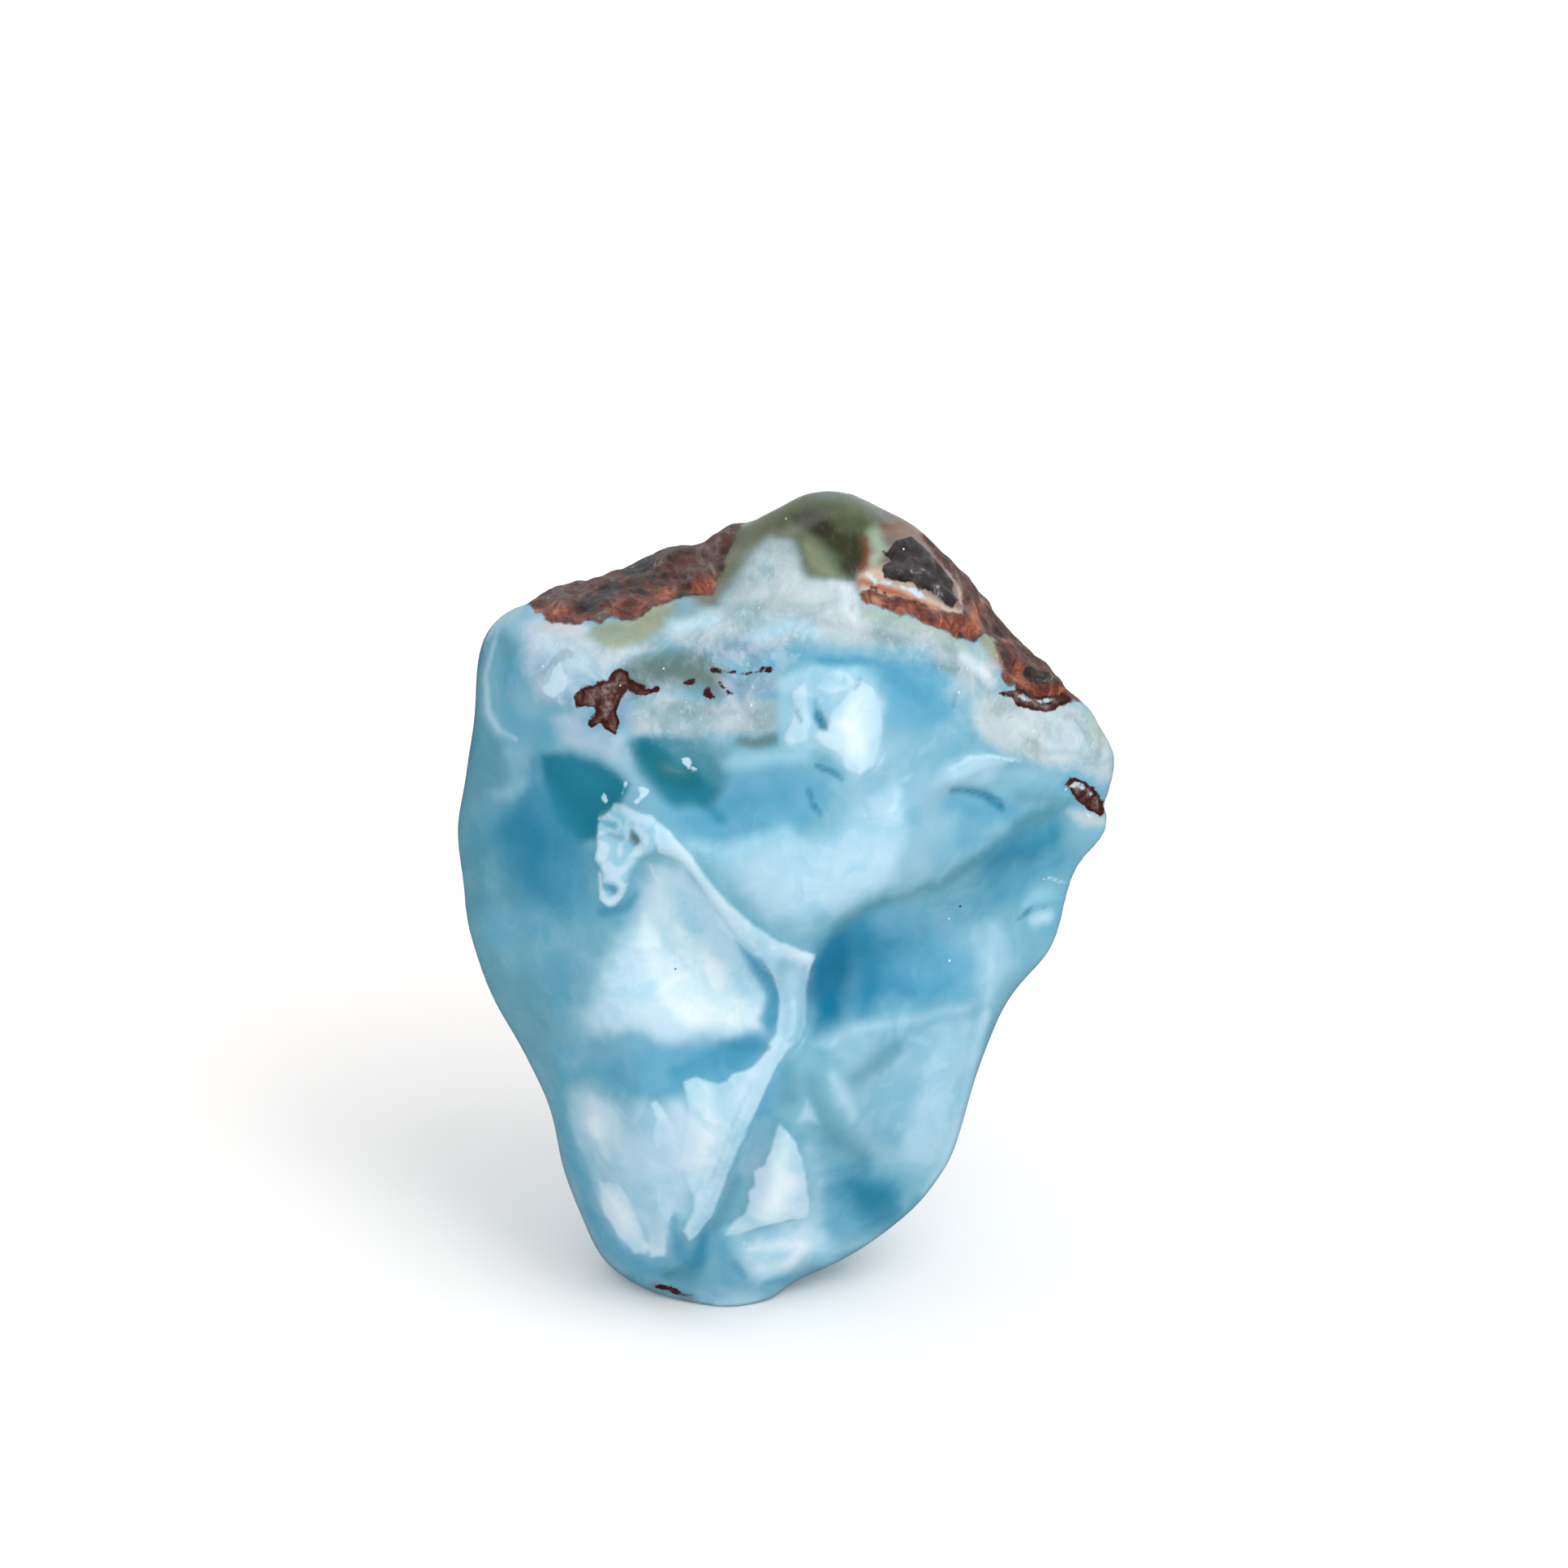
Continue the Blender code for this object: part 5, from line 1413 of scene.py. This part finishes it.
@dataclass
class Lump:
    """The stone: a copy of its solid, made finer, worked over and stained."""

    node: str = "larimar_stone"
    same_point: float = 1e-6
    levels: int = 1
    cell: float = 0.265
    calm: float = 0.5
    calm_rounds: int = 3
    warp: tuple[tuple[float, float], ...] = ((5.0, 0.8), (2.0, 0.4), (0.9, 0.2))
    vein_bend: float = 0.25
    seed: int = 1795641195
    crumbs: tuple[tuple[Vein, float, float], ...] = (
        (Vein.RIND, 2.2, 0.3),
        (Vein.RIND, 1.0, 0.16),
        (Vein.GRAIN, 1.1, 0.08),
        (Vein.BASALT, 0.9, 0.08),
    )
    crumb_edge: float = 0.5
    turn: float = 0.3
    turn_blend: float = 0.2
    foot_kept: float = 0.3
    face: FaceFrame = field(default_factory=FaceFrame)

    def build(self) -> bpy.types.Object:
        """Makes the dressed stone and puts it in its solid's place.

        Returns:
            The stone.
        """
        mesh = self.finer(self.copied_solid())
        chart = self.charted(mesh)
        self.carve(mesh, chart)
        self.stain(mesh, chart)
        mesh.materials.append(LarimarFinish().material())
        mesh.shade_smooth()
        stone = bpy.data.objects.new("stone", mesh)
        bpy.context.scene.collection.objects.link(stone)
        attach(stone, "root")
        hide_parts(self.node)
        return stone

    def copied_solid(self) -> bpy.types.Mesh:
        """Copies the solid's faces, joined up and back in fours.

        Returns:
            The copy.
        """
        bm = bmesh.new()
        bm.from_mesh(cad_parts[self.node].data)
        bmesh.ops.remove_doubles(bm, verts=bm.verts[:], dist=self.same_point)
        bmesh.ops.join_triangles(
            bm, faces=bm.faces[:], angle_face_threshold=math.pi, angle_shape_threshold=math.pi
        )
        mesh = bpy.data.meshes.new("stone")
        bm.to_mesh(mesh)
        bm.free()
        return mesh

    def finer(self, mesh: bpy.types.Mesh) -> bpy.types.Mesh:
        """Rounds a mesh and lays its faces out anew, all of one size.

        Args:
            mesh: The copied solid, which is used up.

        Returns:
            The finer mesh.
        """
        holder = bpy.data.objects.new("holder", mesh)
        bpy.context.scene.collection.objects.link(holder)
        rounding = holder.modifiers.new("rounding", "SUBSURF")
        rounding.levels = rounding.render_levels = self.levels
        even = holder.modifiers.new("even", "REMESH")
        even.mode = "VOXEL"
        even.voxel_size = self.cell * MM
        calm = holder.modifiers.new("calm", "SMOOTH")
        calm.factor, calm.iterations = self.calm, self.calm_rounds
        graph = bpy.context.evaluated_depsgraph_get()
        fine = bpy.data.meshes.new_from_object(holder.evaluated_get(graph))
        bpy.data.objects.remove(holder)
        bpy.data.meshes.remove(mesh)
        fine.name = "stone"
        return fine

    def charted(self, mesh: bpy.types.Mesh) -> Chart:
        """Finds where each of the mesh's points lies on the face.

        The noise is given its seed here. Otherwise it takes a new one from the clock in each run.

        Args:
            mesh: The stone's mesh.

        Returns:
            The chart of its points.
        """
        noise.seed_set(self.seed)
        laid = self.face.laid_out(read_points(mesh, "co"))
        bend = np.zeros((len(laid), 2))
        for size, amount in self.warp:
            swirls = [noise.noise_vector(Vector(place) / size)[:2] for place in laid]
            bend += amount * np.array(swirls)
        facing = read_points(mesh, "normal") @ np.array(self.face.forward())
        share = smooth_step((facing + self.turn) / self.turn_blend)
        return Chart(laid[:, 0], laid[:, 1], bend, share)

    def carve(self, mesh: bpy.types.Mesh, chart: Chart) -> None:
        """Raises and sinks the small forms along the surface's own normals, and leaves the foot as it is.

        Args:
            mesh: The stone's mesh.
            chart: Where its points lie.
        """
        places = read_points(mesh, "co")
        normals = read_points(mesh, "normal")
        lift = np.zeros(len(places))
        for side, share in ((FACE, chart.share), (BACK, 1.0 - chart.share)):
            for form in side.forms:
                cover = Patch(form.edge, form.marks).cover(chart.across, chart.up)
                lift += form.height * share * cover
        for vein, size, amount in self.crumbs:
            rough = np.array([noise.noise(Vector(place) / (size * MM)) for place in places])
            lift += amount * rough * smooth_step(self.depths(vein, chart) / self.crumb_edge)
        lift *= np.clip(places[:, 2] / MM - self.foot_kept, 0.0, 1.0)
        mesh.vertices.foreach_set("co", (places + normals * (lift * MM)[:, None]).ravel())
        mesh.update()

    def stain(self, mesh: bpy.types.Mesh, chart: Chart) -> None:
        """Keeps the washes' colours and the veins' depths on the points.

        Args:
            mesh: The stone's mesh.
            chart: Where its points lie.
        """
        for name, base, face_washes, back_washes in (
            ("tint", Tint.WATER, FACE.washes, BACK.washes),
            ("pale", Tint.MILK, FACE.pale, BACK.pale),
        ):
            colours = np.tile(np.array(base.linear()), (len(chart.across), 1))
            for washes, share in ((face_washes, chart.share), (back_washes, 1.0 - chart.share)):
                for wash in washes:
                    wash.lay(colours, chart, share)
            opaque = np.hstack((colours, np.ones((len(colours), 1))))
            kept = mesh.attributes.new(name, "FLOAT_COLOR", "POINT")
            kept.data.foreach_set("color", opaque.ravel())
        for vein in Vein:
            kept = mesh.attributes.new(vein.value, "FLOAT", "POINT")
            kept.data.foreach_set("value", self.depths(vein, chart))

    def depths(self, vein: Vein, chart: Chart) -> np.ndarray:
        """Finds how deep each point lies inside a kind of vein.

        Args:
            vein: The kind of vein.
            chart: Where the points lie.

        Returns:
            The depths in millimetres.
        """
        across, up = chart.wandering(self.vein_bend)
        on_face = chart.share * FACE.depths(vein, across, up)
        return on_face + (1.0 - chart.share) * BACK.depths(vein, across, up)


def read_points(mesh: bpy.types.Mesh, name: str) -> np.ndarray:
    """Reads a mesh's points, or their normals.

    Args:
        mesh: The mesh.
        name: co for the points and normal for the normals.

    Returns:
        One row of three for each point.
    """
    rows = np.empty(len(mesh.vertices) * 3, dtype=np.float32)
    if name == "co":
        mesh.vertices.foreach_get("co", rows)
    else:
        mesh.vertex_normals.foreach_get("vector", rows)
    return rows.reshape(-1, 3).astype(float)


@dataclass(frozen=True)
class SoftBox:
    """A soft lamp that faces the stone."""

    name: str
    place: tuple[float, float, float]
    width: float
    height: float
    power: float
    lights_flatly: bool = True
    target: tuple[float, float, float] = (0.0, 0.0, 0.024)

    def build(self) -> None:
        """Hangs the lamp in the studio."""
        data = bpy.data.lights.new(self.name, "AREA")
        data.shape = "RECTANGLE"
        data.size, data.size_y, data.energy = self.width, self.height, self.power
        lamp = bpy.data.objects.new(self.name, data)
        lamp.location = self.place
        lamp.visible_diffuse = self.lights_flatly
        aim = Vector(self.target) - Vector(self.place)
        lamp.rotation_euler = aim.to_track_quat("-Z", "Y").to_euler()
        bpy.context.scene.collection.objects.link(lamp)


@dataclass
class Studio:
    """A pale floor, soft lights and the camera that looks straight at the face."""

    floor_side: float = 6.0
    floor_colour: tuple[float, float, float, float] = (0.95, 0.925, 0.91, 1.0)
    floor_roughness: float = 0.9
    floor_glow: float = 0.08
    sky: float = 0.84
    sun: float = 0.85
    sun_spread: float = math.radians(44.0)
    sun_aim: tuple[float, float, float] = (-0.42, 0.42, -0.8)
    sensor: float = 36.0
    lens: float = 197.93
    camera_place: tuple[float, float, float] = (0.3, 32.65, 531.1)
    clip: tuple[float, float] = (0.01, 20.0)
    boxes: tuple[SoftBox, ...] = (
        SoftBox("right_box", (0.20, -0.30, 0.42), 0.16, 0.16, 0.3),
        SoftBox("back_card", (0.0, 0.75, 0.35), 1.2, 1.0, 2.4, lights_flatly=False),
    )
    face: FaceFrame = field(default_factory=FaceFrame)

    def build(self) -> None:
        """Sets the whole studio up."""
        self.floor()
        self.room()
        self.key()
        for box in self.boxes:
            box.build()
        self.camera()

    def floor(self) -> None:
        """Lays the pale floor, far wider than the view."""
        bm = bmesh.new()
        bmesh.ops.create_grid(bm, x_segments=1, y_segments=1, size=self.floor_side / 2.0)
        mesh = bpy.data.meshes.new("floor")
        bm.to_mesh(mesh)
        bm.free()
        material = bpy.data.materials.new("pale_floor")
        bench = Bench(material)
        shader = bench.add("ShaderNodeBsdfPrincipled")
        shader.inputs["Base Color"].default_value = self.floor_colour
        shader.inputs["Roughness"].default_value = self.floor_roughness
        shader.inputs["Emission Color"].default_value = WHITE
        shader.inputs["Emission Strength"].default_value = self.floor_glow
        output = bench.add("ShaderNodeOutputMaterial")
        bench.tree.links.new(shader.outputs[0], output.inputs["Surface"])
        mesh.materials.append(material)
        floor = bpy.data.objects.new("floor", mesh)
        bpy.context.scene.collection.objects.link(floor)
        floor.visible_glossy = False

    def room(self) -> None:
        """Fills the studio with the even light of a white room, which the gloss doesn't mirror."""
        world = bpy.data.worlds.new("room")
        world.use_nodes = True
        light = world.node_tree.nodes["Background"]
        light.inputs["Color"].default_value = WHITE
        light.inputs["Strength"].default_value = self.sky
        bpy.context.scene.world = world
        world.cycles_visibility.glossy = False
        bpy.context.scene.view_settings.view_transform = "Standard"

    def key(self) -> None:
        """Sets the big soft light at the upper right, in front."""
        data = bpy.data.lights.new("key", "SUN")
        data.energy = self.sun
        data.angle = self.sun_spread
        key = bpy.data.objects.new("key", data)
        key.visible_glossy = False
        key.rotation_euler = Vector(self.sun_aim).to_track_quat("-Z", "Y").to_euler()
        bpy.context.scene.collection.objects.link(key)

    def camera(self) -> None:
        """Sets the camera square on to the face, a little above the stone's middle."""
        data = bpy.data.cameras.new("camera")
        data.sensor_width = self.sensor
        data.lens = self.lens
        data.clip_start, data.clip_end = self.clip
        camera = bpy.data.objects.new("camera", data)
        camera.location = self.face.standing(*self.camera_place)
        camera.rotation_euler = (math.radians(90.0) - self.face.lean, 0.0, 0.0)
        bpy.context.scene.collection.objects.link(camera)
        bpy.context.scene.camera = camera


def main() -> None:
    """Builds the studio and the stone, and reports each."""
    logging.basicConfig(level=logging.INFO, format="%(message)s")
    Studio().build()
    log.info("studio ready")
    stone = Lump().build()
    log.info("%s: %d faces", stone.name, len(stone.data.polygons))


if __name__ == "__main__":
    main()
